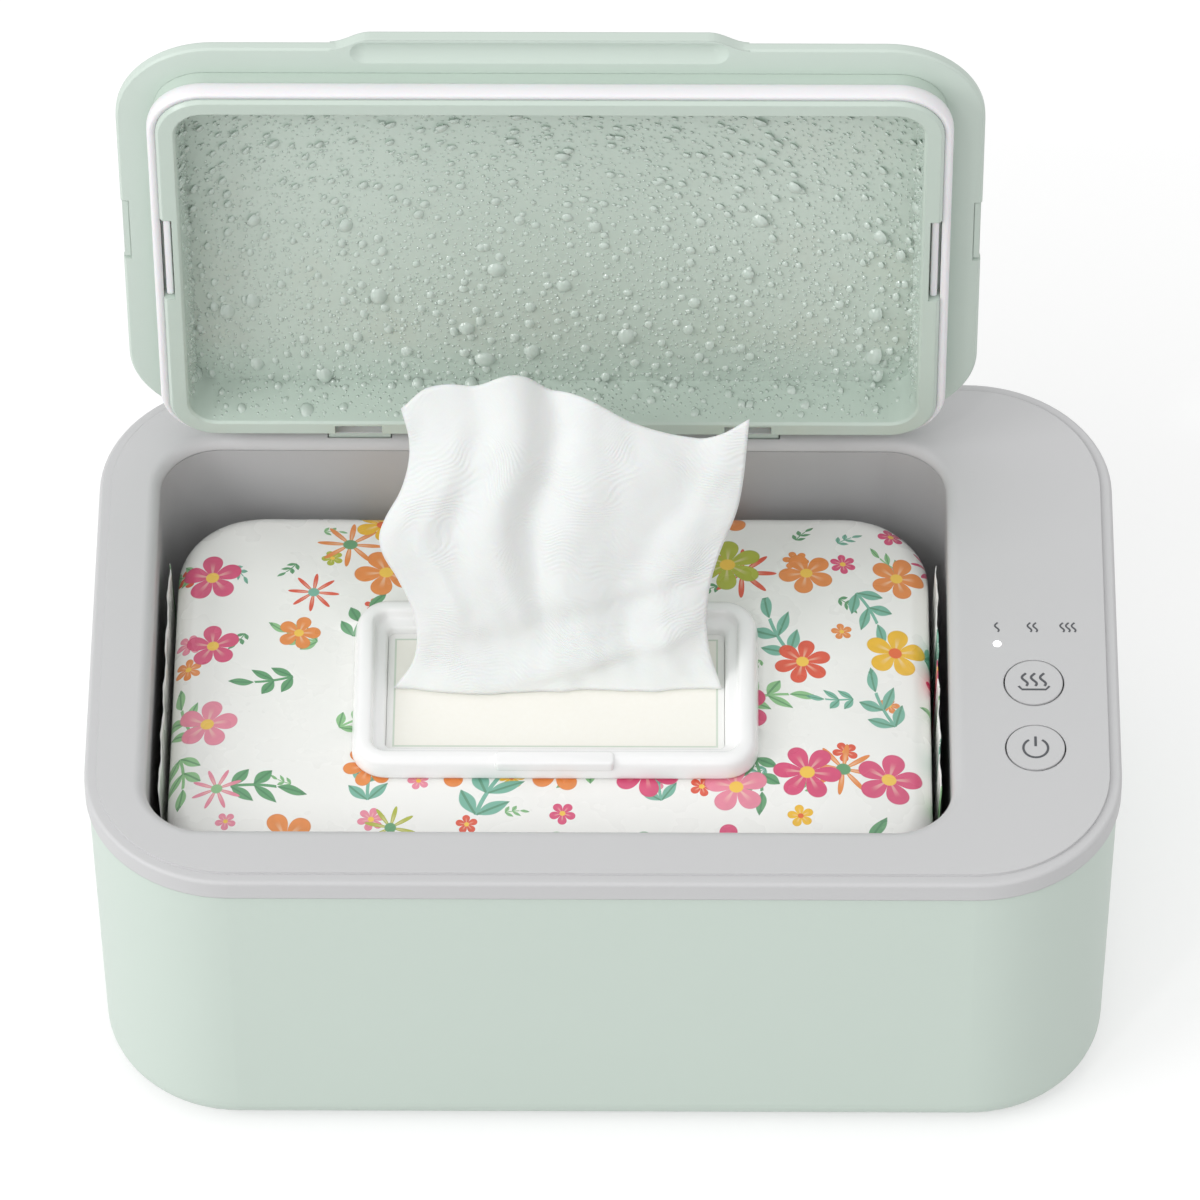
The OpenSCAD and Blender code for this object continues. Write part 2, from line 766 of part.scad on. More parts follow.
module heat_button() { button_cap(button_y[0]); }

module power_button() { button_cap(button_y[1]); }

module heat_plunger() { plunger(button_y[0]); }

module power_plunger() { plunger(button_y[1]); }

// ---- Lid, drawn closed and then opened ----

// Section of the cover's edge, from the flange up the slope to the flat outer face
module cover_section() {
    r = flange_r;
    top = lid_top_z;
    edge = flange_z + flange_t;
    slope = [for (i = [0:arc_steps]) let (t = i / arc_steps)
        [r - 1 - (lid_slope_w - 1) * t, edge + (top - edge) * sin(90 * t)]];
    polygon(concat(
        [[r - lid_slope_w, flange_z], [r - 0.6, flange_z], [r, flange_z + 0.6]],
        arc([r - 1, edge - 1], 1, 0, 90),
        slope));
}

module finger_tab() {
    front = flange_y - flange_d / 2;
    side = [for (i = [0:arc_steps]) let (t = i / arc_steps)
        [tab_w / 2 - tab_ramp * t, tab_in - (tab_in + tab_reach) * (1 - cos(180 * t)) / 2]];
    other = [for (i = [0:arc_steps]) [-side[arc_steps - i].x, side[arc_steps - i].y]];
    translate([tab_x, front, flange_z]) linear_extrude(flange_t)
        polygon(concat([[tab_w / 2, 3]], side, other, [[-tab_w / 2, 3]]));
}

// Long hollow for the fingertips, with round ends
module scoop() {
    end = scoop_w / 2 - scoop_d / 2;
    translate([tab_x, flange_y - flange_d / 2 - tab_reach + scoop_rim + scoop_d / 2,
        flange_z + scoop_t - scoop_r]) {
        along_x(-end, end, scoop_r);
        for (s = [-1, 1]) translate([s * end, 0, 0]) sphere(scoop_r);
    }
}

// Space for the liner in the cover, with the liner's shoulder
module liner_pocket() {
    plate(plug_w + 2 * fit, plug_d + 2 * fit, plug_r + fit, flange_z - 1, flange_z + shoulder_h + 0.2);
    inset = shoulder_in - fit;
    plate(plug_w - 2 * inset, plug_d - 2 * inset, plug_r - inset, flange_z, lid_top_z - lid_wall);
}

module lid_cover() {
    color(mint) opened() difference() {
        union() {
            translate([lid_x, flange_y, 0]) {
                ring(flange_w, flange_d, flange_r) cover_section();
                plate(flange_w - 2 * lid_slope_w + 1, flange_d - 2 * lid_slope_w + 1,
                    flange_r - lid_slope_w + 0.5, flange_z, lid_top_z);
            }
            finger_tab();
            for (s = [-1, 1]) translate([lid_x + s * knuckle_x - knuckle_l / 2, 0, 0]) {
                translate([0, hinge_y, hinge_z]) along_x(0, knuckle_l, knuckle_r);
                translate([0, well_back_y - 2, flange_z])
                    cube([knuckle_l, hinge_y - well_back_y + 2, hinge_z + knuckle_r - flange_z]);
            }
        }
        translate([lid_x, plug_y, 0]) liner_pocket();
        scoop();
        for (s = [-1, 1]) translate([lid_x + s * knuckle_x, hinge_y, hinge_z])
            along_x(-knuckle_l, knuckle_l, pin_r + running);
        for (s = [-1, 1]) translate([lid_x + s * flange_w / 2 - catch_w, catch_y - catch_l / 2,
            flange_z - 1]) cube([2 * catch_w, catch_l, flange_t + 1]);
    }
}

// Small clips that fill the insets in the flange's sides
module lid_catches() {
    color(mint) opened() for (s = [-1, 1])
        translate([lid_x + s * (flange_w / 2 - catch_w / 2 - 0.1), catch_y, flange_z + flange_t / 2])
            cube([catch_w - 0.4, catch_l - 1.2, flange_t - 1], center = true);
}

module liner_section() {
    r = plug_r;
    polygon([[r - plug_rim - dish_draft, dish_z + liner_t], [r - plug_rim - dish_draft, dish_z],
        [r - plug_rim, plug_z + 0.6], [r - plug_rim + 0.6, plug_z], [r - 0.8, plug_z],
        [r, plug_z + 0.8], [r, seal_top_z + 0.05], [r + collar_out, seal_top_z + 0.05],
        [r + collar_out, flange_z - 0.05], [r, flange_z - 0.05], [r, flange_z + shoulder_h],
        [r - shoulder_in, flange_z + shoulder_h], [r - shoulder_in, dish_z + liner_t]]);
}

module lid_liner() {
    inner_w = plug_w - 2 * plug_rim;
    inner_d = plug_d - 2 * plug_rim;
    color(mint) opened() difference() {
        translate([lid_x, plug_y, 0]) union() {
            ring(plug_w, plug_d, plug_r) liner_section();
            plate(inner_w, inner_d, dish_r, dish_z, dish_z + liner_t);
        }
        for (s = [-1, 1]) translate([lid_x + s * plug_w / 2 - notch_side[0], notch_y - notch_side[1] / 2,
            plug_z - 1]) cube([2 * notch_side[0], notch_side[1], 1 + notch_h]);
        for (s = [-1, 1]) translate([lid_x + s * knuckle_x - notch_back[0] / 2,
            plug_y + plug_d / 2 - notch_back[1], plug_z - 1])
            cube([notch_back[0], 2 * notch_back[1], 1 + notch_h]);
    }
}

// Rib of the seal that fills a notch of the rim and keeps the seal from turning
module seal_rib(s) {
    translate([lid_x + s * (plug_w / 2 - rib_in - rib_w / 2), notch_y, rib_top_z - rib_h / 2])
        cube([rib_w, rib_l, rib_h], center = true);
    translate([lid_x + s * (plug_w / 2 - rib_in / 2), notch_y, rib_top_z - web_t / 2])
        cube([rib_in + 2 * bite, rib_l, web_t], center = true);
}

// Soft ring round the root of the liner's rim
module lid_seal() {
    r = well_r - seal_gap;
    color(white) opened() union() {
        difference() {
            translate([lid_x, seal_y, 0]) union() {
                plate(seal_w, seal_d, r, seal_z + seal_round, seal_top_z);
                plate(seal_w - 2 * seal_round, seal_d - 2 * seal_round, r - seal_round, seal_z,
                    seal_top_z);
                ring(seal_w, seal_d, r) translate([r - seal_round, seal_z + seal_round])
                    circle(seal_round);
            }
            translate([lid_x, plug_y, 0])
                plate(plug_w + 0.1, plug_d + 0.1, plug_r + 0.05, seal_z - 1, seal_top_z + 1);
        }
        for (s = [-1, 1]) seal_rib(s);
    }
}

module hinge_pins() {
    color(steel) for (s = [-1, 1]) translate([lid_x + s * knuckle_x - pin_l / 2, hinge_y, hinge_z])
        along_x(0, pin_l, pin_r);
}

// ---- Pack of wipes ----

module pack_section() {
    polygon(concat([[0, 0]], arc([pack_r - 4, 4], 4, -90, 0),
        arc([pack_r - pack_edge, pack_h - pack_edge], pack_edge, 0, 90), [[0, pack_h]]));
}

// Soft pack with round edges and a crimped seal that stands up at each end
module wipes_pack() {
    fin_x = pack_w / 2 + 1.6;
    color(white) translate([well_x, pack_y, pack_z]) union() {
        ring(pack_w, pack_d, pack_r) pack_section();
        translate([0, 0, pack_h / 2])
            cube([pack_w - 2 * pack_r + 1, pack_d - 2 * pack_r + 1, pack_h], center = true);
        for (s = [-1, 1]) {
            translate([s * fin_x - fin_t / 2, fin_in - pack_d / 2, pack_h + 2 - fin_h])
                cube([fin_t, pack_d - 2 * fin_in, fin_h]);
            translate([s > 0 ? pack_w / 2 - 2 : -fin_x, fin_in - pack_d / 2, pack_h + 2 - fin_h])
                cube([fin_x - pack_w / 2 + 2, pack_d - 2 * fin_in, fin_t]);
        }
    }
}

module frame_section() {
    r = frame_r;
    polygon(concat([[r - frame_wall, 0], [r, 0]],
        arc([r - frame_edge, frame_h - frame_edge], frame_edge, 0, 90),
        arc([r - frame_wall + frame_edge, frame_h - frame_edge], frame_edge, 90, 180)));
}

module pack_frame() {
    color(white) translate([frame_x, frame_y, pack_top_z]) difference() {
        ring(frame_w, frame_d, frame_r) frame_section();
        translate([-latch_w / 2, -frame_d / 2 - 1, frame_h - latch_h]) cube([latch_w, 1 + latch_in, frame_h]);
    }
}

module pack_label() {
    color([0.95, 0.93, 0.87]) translate([frame_x, frame_y, pack_top_z])
        plate(frame_opening.x - 0.4, frame_opening.y - 0.4, 1.5, 0, label_t);
}

// A point of the wipe: u goes from left to right and v from the pack to the free edge
function wipe_point(u, v, side) =
    let (half = wipe_w / 2 * (0.92 + 0.1 * sin(150 * v)),
         sag = -7 * (1 - v) * (1 - v),
         wave = 3.5 * v * sin(460 * u + 60) + 2 * sin(300 * u) * (1 - v),
         top = wipe_h * (1 - 0.14 * u * v))
    [wipe_x + (2 * u - 1) * half,
     wipe_y + sag + top * v * tan(wipe_lean) + wave + side * wipe_t / 2,
     wipe_z + top * v];

module wipe() {
    n = wipe_cols + 1;
    m = wipe_rows + 1;
    points = [for (side = [-1, 1], j = [0:wipe_rows], i = [0:wipe_cols])
        wipe_point(i / wipe_cols, j / wipe_rows, side)];
    faces = concat(
        [for (s = [0, 1], j = [0:wipe_rows - 1], i = [0:wipe_cols - 1], h = [0, 1])
            let (a = s * n * m + j * n + i, b = a + 1, c = a + n + 1, d = a + n,
                 t = h == 0 ? [a, b, c] : [a, c, d])
            s == 0 ? [t[0], t[2], t[1]] : t],
        [for (i = [0:wipe_cols - 1], e = [0, 1], h = [0, 1])
            let (a = e * wipe_rows * n + i, b = a + 1, c = b + n * m, d = a + n * m,
                 t = h == 0 ? [a, b, c] : [a, c, d])
            e == 0 ? t : [t[0], t[2], t[1]]],
        [for (j = [0:wipe_rows - 1], e = [0, 1], h = [0, 1])
            let (a = e * wipe_cols + j * n, b = a + n, c = b + n * m, d = a + n * m,
                 t = h == 0 ? [a, b, c] : [a, c, d])
            e == 0 ? [t[0], t[2], t[1]] : t]);
    color(white) polyhedron(points, [for (f = faces) [f[0], f[2], f[1]]]);
}

outer_shell();
base_plate();
top_bezel();
well_tank();
heating_plate();
heater_film();
insulation_pad();
temperature_sensor();
thermal_fuse();
heater_leads();
control_board();
board_chips();
heat_switch();
power_switch();
indicator_leds();
light_pipes();
ribbon_cable();
power_board();
power_parts();
inlet_leads();
dc_inlet();
rubber_feet();
base_screws();
tank_screws();
board_screws();
hinge_pins();
wipes_pack();
pack_frame();
pack_label();
wipe();
lid_cover();
lid_liner();
lid_seal();
lid_catches();
heat_button();
heat_plunger();
power_button();
power_plunger();
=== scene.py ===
import json
import math

import bmesh
import bpy
from mathutils import Matrix, Vector, noise

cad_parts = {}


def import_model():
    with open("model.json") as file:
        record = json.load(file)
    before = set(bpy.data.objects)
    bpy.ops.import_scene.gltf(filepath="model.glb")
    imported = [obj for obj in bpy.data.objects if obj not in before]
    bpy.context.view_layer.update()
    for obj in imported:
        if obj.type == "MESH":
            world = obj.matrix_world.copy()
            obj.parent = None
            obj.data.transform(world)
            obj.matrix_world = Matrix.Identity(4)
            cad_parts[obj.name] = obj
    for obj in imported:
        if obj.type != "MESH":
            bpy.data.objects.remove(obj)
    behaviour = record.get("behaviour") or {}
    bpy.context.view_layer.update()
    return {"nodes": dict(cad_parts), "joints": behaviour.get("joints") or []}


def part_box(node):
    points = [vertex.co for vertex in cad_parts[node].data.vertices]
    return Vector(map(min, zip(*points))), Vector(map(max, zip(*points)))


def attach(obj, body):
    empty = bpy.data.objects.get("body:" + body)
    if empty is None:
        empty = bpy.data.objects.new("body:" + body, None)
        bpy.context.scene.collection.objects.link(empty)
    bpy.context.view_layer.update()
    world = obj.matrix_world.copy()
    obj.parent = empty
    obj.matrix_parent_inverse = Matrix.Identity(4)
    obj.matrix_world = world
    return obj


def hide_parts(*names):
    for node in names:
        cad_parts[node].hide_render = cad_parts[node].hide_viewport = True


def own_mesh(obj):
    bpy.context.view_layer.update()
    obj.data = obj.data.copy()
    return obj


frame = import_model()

MM = 0.001
NODES = frame["nodes"]

# ------------------------------------------------------------------ camera
# The photograph's camera, as an orbit round a point in the middle of the body.
PHOTO_PX = 1200
AIM = Vector((0, 0, 50 * MM))
YAW = math.radians(0.65)
ELEVATION = math.radians(49.19)
ROLL = math.radians(-0.32)
DISTANCE = 2.582
SCALE_PX_PER_M = 3886
AIM_PX = (605, 755)
SENSOR_MM = 36


def make_camera():
    away = Vector((math.sin(YAW) * math.cos(ELEVATION), -math.cos(YAW) * math.cos(ELEVATION),
                   math.sin(ELEVATION)))
    place = AIM + DISTANCE * away
    forward = -away
    right0 = Vector((math.cos(YAW), math.sin(YAW), 0))
    up0 = right0.cross(forward)
    right = math.cos(ROLL) * right0 + math.sin(ROLL) * up0
    up = -math.sin(ROLL) * right0 + math.cos(ROLL) * up0
    focal_px = SCALE_PX_PER_M * DISTANCE
    half = PHOTO_PX / 2
    # the camera is turned so that the picture's middle is straight ahead, which needs no shift
    ahead = (forward * focal_px + right * (half - AIM_PX[0]) - up * (half - AIM_PX[1])).normalized()
    z_axis = -ahead
    x_axis = up.cross(z_axis).normalized()
    y_axis = z_axis.cross(x_axis)
    data = bpy.data.cameras.new("camera")
    data.sensor_width = SENSOR_MM
    data.sensor_fit = "HORIZONTAL"
    data.lens = focal_px * SENSOR_MM / PHOTO_PX
    data.clip_end = 20
    camera = bpy.data.objects.new("camera", data)
    turn = Matrix((x_axis, y_axis, z_axis)).transposed().to_4x4()
    camera.matrix_world = Matrix.Translation(place) @ turn
    bpy.context.scene.collection.objects.link(camera)
    bpy.context.scene.camera = camera


# ------------------------------------------------------------------ node helpers
def srgb(*rgb):
    """Linear colour of an sRGB colour given in 0 to 255."""
    def one(c):
        c /= 255
        return c / 12.92 if c <= 0.04045 else ((c + 0.055) / 1.055) ** 2.4
    return tuple(one(c) for c in rgb) + (1.0,)


class Tree:
    """A short way to write shader and group trees."""

    def __init__(self, tree):
        self.tree = tree

    def add(self, kind, **values):
        node = self.tree.nodes.new(kind)
        for key, value in values.items():
            setattr(node, key, value)
        return node

    def link(self, source, target):
        self.tree.links.new(source, target)

    def feed(self, socket, value):
        if isinstance(value, bpy.types.NodeSocket):
            self.link(value, socket)
        else:
            socket.default_value = value

    def feed_all(self, node, *values):
        """Feeds a node's inputs in their order, and gives its first output."""
        for socket, value in zip(node.inputs, values):
            self.feed(socket, value)
        return node.outputs[0]

    def fill(self, node, values):
        """Feeds a node's inputs by name."""
        for label, value in values.items():
            self.feed(node.inputs[label], value)
        return node

    def math(self, operation, *values):
        return self.feed_all(self.add("ShaderNodeMath", operation=operation), *values)

    def vmath(self, operation, *values):
        return self.feed_all(self.add("ShaderNodeVectorMath", operation=operation), *values)

    def plus(self, a, b):
        return self.math("ADD", a, b)

    def minus(self, a, b):
        return self.math("SUBTRACT", a, b)

    def times(self, a, b):
        return self.math("MULTIPLY", a, b)

    def over(self, a, b):
        return self.math("DIVIDE", a, b)

    def swing(self, value, size):
        """A value of 0 to 1 made a swing about 0, of a size from end to end."""
        return self.times(self.minus(value, 0.5), size)

    def step(self, value, low, high):
        """0 below low and 1 above high, with a smooth rise between them."""
        node = self.add("ShaderNodeMapRange", interpolation_type="SMOOTHSTEP")
        return self.feed_all(node, value, low, high, 0.0, 1.0)

    def mix(self, factor, a, b):
        node = self.add("ShaderNodeMix", data_type="RGBA")
        self.feed(node.inputs[0], factor)
        self.feed(node.inputs[6], a)
        self.feed(node.inputs[7], b)
        return node.outputs[2]

    def join(self, x, y, z):
        return self.feed_all(self.add("ShaderNodeCombineXYZ"), x, y, z)

    def split(self, vector):
        node = self.add("ShaderNodeSeparateXYZ")
        self.link(vector, node.inputs[0])
        return node.outputs

    def ramp(self, factor, stops):
        """Steps of colour: each stop holds from its place to the next one."""
        node = self.add("ShaderNodeValToRGB")
        band = node.color_ramp
        band.interpolation = "CONSTANT"
        while len(band.elements) < len(stops):
            band.elements.new(1.0)
        for element, (place, colour) in zip(band.elements, stops):
            element.position = place
            element.color = colour
        self.link(factor, node.inputs[0])
        return node.outputs[0]

    def noise(self, vector, scale, detail=3.0, rough=0.55):
        node = self.add("ShaderNodeTexNoise")
        self.fill(node, {"Vector": vector, "Scale": scale, "Detail": detail, "Roughness": rough})
        return node.outputs[0]

    def here(self):
        return self.add("ShaderNodeTexCoord").outputs["Object"]


def group(name, inputs, outputs):
    """An empty shader group with named sockets: its tree, what it is given and what it gives."""
    tree = bpy.data.node_groups.new(name, "ShaderNodeTree")
    for label, kind, value in inputs:
        socket = tree.interface.new_socket(label, in_out="INPUT", socket_type=kind)
        if value is not None:
            socket.default_value = value
    for label, kind in outputs:
        tree.interface.new_socket(label, in_out="OUTPUT", socket_type=kind)
    t = Tree(tree)
    return t, t.add("NodeGroupInput").outputs, t.add("NodeGroupOutput").inputs


FLOAT, COLOR, VECTOR = "NodeSocketFloat", "NodeSocketColor", "NodeSocketVector"


def build_moulding():
    """Moulded plastic: fine spark grain, slow colour drift and a little change of gloss."""
    t, i, o = group("moulding", [
        ("Vector", VECTOR, None), ("Colour", COLOR, (0.8, 0.8, 0.8, 1)), ("Drift", FLOAT, 0.03),
        ("Grain Size", FLOAT, 0.0005), ("Gloss", FLOAT, 0.4), ("Gloss Range", FLOAT, 0.06)],
        [("Colour", COLOR), ("Roughness", FLOAT), ("Height", FLOAT)])
    slow = t.noise(i["Vector"], 14.0, 3.0)
    fine = t.noise(i["Vector"], t.over(1.0, i["Grain Size"]), 2.0, 0.6)
    tone = t.fill(t.add("ShaderNodeHueSaturation"), {
        "Color": i["Colour"], "Value": t.plus(1.0, t.swing(slow, i["Drift"]))})
    both = t.plus(t.times(slow, 0.6), t.times(fine, 0.4))
    t.link(tone.outputs[0], o["Colour"])
    t.link(t.plus(i["Gloss"], t.swing(both, i["Gloss Range"])), o["Roughness"])
    t.link(fine, o["Height"])
    return t.tree


def polar(t, vector, centre, turn):
    """Distance from a centre in the XY plane and angle about it."""
    x, y, _ = t.split(t.vmath("SUBTRACT", vector, centre))
    far = t.math("SQRT", t.plus(t.times(x, x), t.times(y, y)))
    return far, t.minus(t.math("ARCTAN2", y, x), turn)


def build_flower():
    """A printed flower: petals round an eye, with a paler heart on each petal."""
    t, i, o = group("flower", [
        ("Vector", VECTOR, None), ("Ground", COLOR, None), ("Centre", VECTOR, None),
        ("Radius", FLOAT, 0.008), ("Petals", FLOAT, 5.0), ("Turn", FLOAT, 0.0), ("Width", FLOAT, 0.5),
        ("Petal", COLOR, None), ("Heart", COLOR, None), ("Eye", COLOR, None)], [("Colour", COLOR)])
    far, angle = polar(t, i["Vector"], i["Centre"], i["Turn"])
    ratio = t.over(far, i["Radius"])
    lobe = t.math("ABSOLUTE", t.math("COSINE", t.times(angle, t.times(i["Petals"], 0.5))))
    margin = t.minus(t.math("POWER", lobe, i["Width"]), ratio)
    petal = t.step(margin, -0.02, 0.02)
    wash = t.noise(t.vmath("DIVIDE", i["Vector"], t.join(i["Radius"], i["Radius"], 1.0)), 2.4, 2.0)
    rim = t.math("MAXIMUM", t.step(margin, 0.05, 0.02), t.times(t.step(wash, 0.35, 0.7), 0.4))
    deep = t.fill(t.add("ShaderNodeHueSaturation"), {"Color": i["Petal"], "Value": 0.82})
    painted = t.mix(t.times(rim, 0.75), i["Petal"], deep.outputs[0])
    vein = t.times(t.step(lobe, 0.90, 1.0), t.step(ratio, 0.75, 0.3))
    first = t.mix(petal, i["Ground"], painted)
    second = t.mix(t.times(t.times(vein, petal), 0.45), first, i["Heart"])
    t.link(t.mix(t.step(ratio, 0.24, 0.20), second, i["Eye"]), o["Colour"])
    return t.tree


LEAF_LEAN = math.radians(45)     # between a leaf of a pair and the stem
# half widths as shares of a leaf's length
LEAF_HALF, STEM_HALF, VEIN_HALF = 0.22, 0.06, 0.035
STEM_BEND = 0.18


def build_sprig():
    """A printed sprig: a thin stem with pairs of pointed leaves along it and one at its tip."""
    t, i, o = group("sprig", [
        ("Vector", VECTOR, None), ("Ground", COLOR, None), ("Centre", VECTOR, None),
        ("Length", FLOAT, 0.02), ("Pairs", FLOAT, 3.0), ("Turn", FLOAT, 0.0), ("Leaf", FLOAT, 0.006),
        ("Green", COLOR, None), ("Vein", COLOR, None)], [("Colour", COLOR)])
    x, y, _ = t.split(t.vmath("SUBTRACT", i["Vector"], i["Centre"]))
    c, s = t.math("COSINE", i["Turn"]), t.math("SINE", i["Turn"])
    along = t.plus(t.times(x, c), t.times(y, s))
    bend = t.over(t.times(t.times(along, along), STEM_BEND), i["Length"])
    across = t.plus(t.minus(t.times(y, c), t.times(x, s)), bend)
    side = t.math("ABSOLUTE", across)
    pitch = t.over(i["Length"], i["Pairs"])
    cell = t.times(t.math("FRACT", t.over(along, pitch)), pitch)
    lean_c, lean_s = math.cos(LEAF_LEAN), math.sin(LEAF_LEAN)

    def leaf(u, v):
        share = t.over(u, i["Leaf"])
        bulge = t.times(t.math("SINE", t.times(share, math.pi)), LEAF_HALF)
        room = t.minus(bulge, t.math("ABSOLUTE", t.over(v, i["Leaf"])))
        inside = t.times(t.step(share, 0.0, 0.03), t.step(share, 1.0, 0.97))
        return t.times(t.step(room, 0.0, 0.03), inside), t.math("ABSOLUTE", v)

    # a leaf of a pair has its own axes, which lean forwards from the stem
    pair, rib = leaf(t.plus(t.times(cell, lean_c), t.times(side, lean_s)),
                     t.minus(t.times(side, lean_c), t.times(cell, lean_s)))
    tip, tip_rib = leaf(t.minus(along, i["Length"]), across)
    stem_zone = t.times(t.math("GREATER_THAN", along, 0.0), t.math("LESS_THAN", along, i["Length"]))
    leaves = t.math("MAXIMUM", t.times(pair, stem_zone), tip)
    stem = t.times(t.math("LESS_THAN", side, t.times(i["Leaf"], STEM_HALF)), stem_zone)
    thin = t.math("LESS_THAN", t.math("MINIMUM", rib, tip_rib), t.times(i["Leaf"], VEIN_HALF))
    first = t.mix(t.math("MAXIMUM", leaves, stem), i["Ground"], i["Green"])
    t.link(t.mix(t.times(t.times(thin, leaves), 0.6), first, i["Vein"]), o["Colour"])
    return t.tree


# colours of the print: each ramp's stops are (start of the step, colour)
PETALS = ((0.0, srgb(232, 100, 78)), (0.16, srgb(240, 146, 168)), (0.34, srgb(248, 196, 60)),
          (0.5, srgb(226, 92, 132)), (0.66, srgb(240, 150, 84)), (0.82, srgb(184, 192, 78)))
EYES = ((0.0, srgb(250, 206, 90)), (0.34, srgb(236, 112, 60)), (0.5, srgb(250, 206, 90)))
GREENS = ((0.0, srgb(150, 200, 146)), (0.35, srgb(110, 166, 122)), (0.7, srgb(130, 188, 168)))
HEART, VEIN = srgb(252, 232, 206), srgb(84, 134, 100)


def build_scatter(flower, sprig):
    """One layer of print: each cell of the plane holds a flower, a burst, a sprig or nothing."""
    t, i, o = group("scatter", [
        ("Vector", VECTOR, None), ("Ground", COLOR, None), ("Cell", FLOAT, 0.02), ("Seed", FLOAT, 0.0),
        ("Largest", FLOAT, 0.4), ("Flowers", FLOAT, 0.5), ("Bursts", FLOAT, 0.2), ("Blanks", FLOAT, 0.1)],
        [("Colour", COLOR)])
    cells = t.vmath("DIVIDE", i["Vector"], t.join(i["Cell"], i["Cell"], 1.0))
    where = t.vmath("ADD", cells, t.join(i["Seed"], i["Seed"], 0.0))
    near, free = [t.fill(t.add("ShaderNodeTexVoronoi", voronoi_dimensions="2D", feature=feature),
                         {"Vector": where, "Scale": 1.0, "Randomness": 0.55}).outputs
                  for feature in ("F1", "N_SPHERE_RADIUS")]
    kind, pick, spin = t.split(near["Color"])
    room = t.math("MINIMUM", free["Radius"], i["Largest"])
    radius = t.times(room, t.plus(0.72, t.times(0.28, spin)))
    turn = t.times(t.plus(spin, pick), 2 * math.pi)
    petal, eye, green = t.ramp(pick, PETALS), t.ramp(pick, EYES), t.ramp(spin, GREENS)

    def put(tree, layer, low, high, **values):
        node = t.add("ShaderNodeGroup", node_tree=tree)
        t.fill(node, {"Vector": where, "Ground": layer, "Turn": turn, **values})
        chosen = t.times(t.math("GREATER_THAN", kind, low), t.math("LESS_THAN", kind, high))
        return t.mix(chosen, layer, node.outputs[0])

    middle = near["Position"]
    bloom = {"Centre": middle, "Radius": radius, "Petal": petal, "Heart": HEART}
    flowers_to = t.plus(i["Blanks"], i["Flowers"])
    bursts_to = t.plus(flowers_to, i["Bursts"])
    tail = t.join(t.times(t.math("COSINE", turn), radius), t.times(t.math("SINE", turn), radius), 0.0)
    layer = put(flower, i["Ground"], i["Blanks"], flowers_to, Eye=eye, Width=0.3,
                Petals=t.math("ROUND", t.plus(4.7, spin)), **bloom)
    layer = put(flower, layer, flowers_to, bursts_to, Eye=green, Width=3.0, Petals=8.0, **bloom)
    layer = put(sprig, layer, bursts_to, 1.1, Centre=t.vmath("SUBTRACT", middle, tail), Pairs=2.0,
                Length=t.times(radius, 1.25), Leaf=t.times(radius, 0.82), Green=green, Vein=VEIN)
    t.link(layer, o["Colour"])
    return t.tree


MOULDING = build_moulding()
SCATTER = build_scatter(build_flower(), build_sprig())
SOFT_EDGE = 0.0004       # how far a moulded edge is rounded in the shading


def material(name):
    mat = bpy.data.materials.new(name)
    mat.use_nodes = True
    t = Tree(mat.node_tree)
    bsdf = mat.node_tree.nodes["Principled BSDF"]
    return mat, t, bsdf


def bump(t, height, distance, strength=1.0, normal=None):
    values = {"Strength": strength, "Distance": distance, "Height": height}
    if normal is not None:
        values["Normal"] = normal
    return t.fill(t.add("ShaderNodeBump"), values).outputs[0]


def soft_edge(t, radius):
    return t.fill(t.add("ShaderNodeBevel", samples=4), {"Radius": radius}).outputs[0]


def plastic(name, colour, gloss=0.4, drift=0.03, grain=0.0005, depth=0.00001, coat=0.0, specular=0.5,
            subsurface=0.0, edge=SOFT_EDGE):
    """Moulded plastic of a colour, with its grain and rounded arrises."""
    mat, t, bsdf = material(name)
    made = t.fill(t.add("ShaderNodeGroup", node_tree=MOULDING), {
        "Vector": t.here(), "Colour": colour, "Drift": drift, "Grain Size": grain, "Gloss": gloss}).outputs
    t.fill(bsdf, {
        "Base Color": made["Colour"], "Roughness": made["Roughness"],
        "Normal": bump(t, made["Height"], depth, 0.5, soft_edge(t, edge)),
        "Specular IOR Level": specular, "Coat Weight": coat,
        "Subsurface Weight": subsurface, "Subsurface Scale": 0.002})
    return mat


def metal(name, colour, rough):
    """Plated or rolled metal with fine lay marks."""
    mat, t, bsdf = material(name)
    lay = t.noise(t.vmath("MULTIPLY", t.here(), (60.0, 2500.0, 2500.0)), 1.0, 2.0)
    t.fill(bsdf, {"Base Color": colour, "Metallic": 1.0, "Roughness": t.plus(rough, t.swing(lay, 0.25)),
                  "Normal": bump(t, lay, 0.000005, 0.4)})
    return mat


# ------------------------------------------------------------------ mesh helpers
def new_object(name, verts, faces, mats, smooth=True):
    mesh = bpy.data.meshes.new(name)
    mesh.from_pydata([tuple(v) for v in verts], [], faces)
    for mat in mats:
        mesh.materials.append(mat)
    for poly in mesh.polygons:
        poly.use_smooth = smooth
    mesh.update()
    obj = bpy.data.objects.new(name, mesh)
    bpy.context.scene.collection.objects.link(obj)
    return obj


def outward(obj):
    """Merges doubles and turns all faces outwards."""
    bm = bmesh.new()
    bm.from_mesh(obj.data)
    bmesh.ops.remove_doubles(bm, verts=bm.verts, dist=1e-7)
    bmesh.ops.recalc_face_normals(bm, faces=bm.faces)
    bm.to_mesh(obj.data)
    bm.free()
    return obj


def move_points(obj, shift):
    """Moves each point of a mesh to where a function puts it."""
    for v in obj.data.vertices:
        v.co = shift(v.co)


def bake_modifiers(obj):
    """The evaluated object as a plain mesh, with its modifiers removed."""
    graph = bpy.context.evaluated_depsgraph_get()
    mesh = bpy.data.meshes.new_from_object(obj.evaluated_get(graph))
    obj.modifiers.clear()
    obj.data = mesh
    return obj


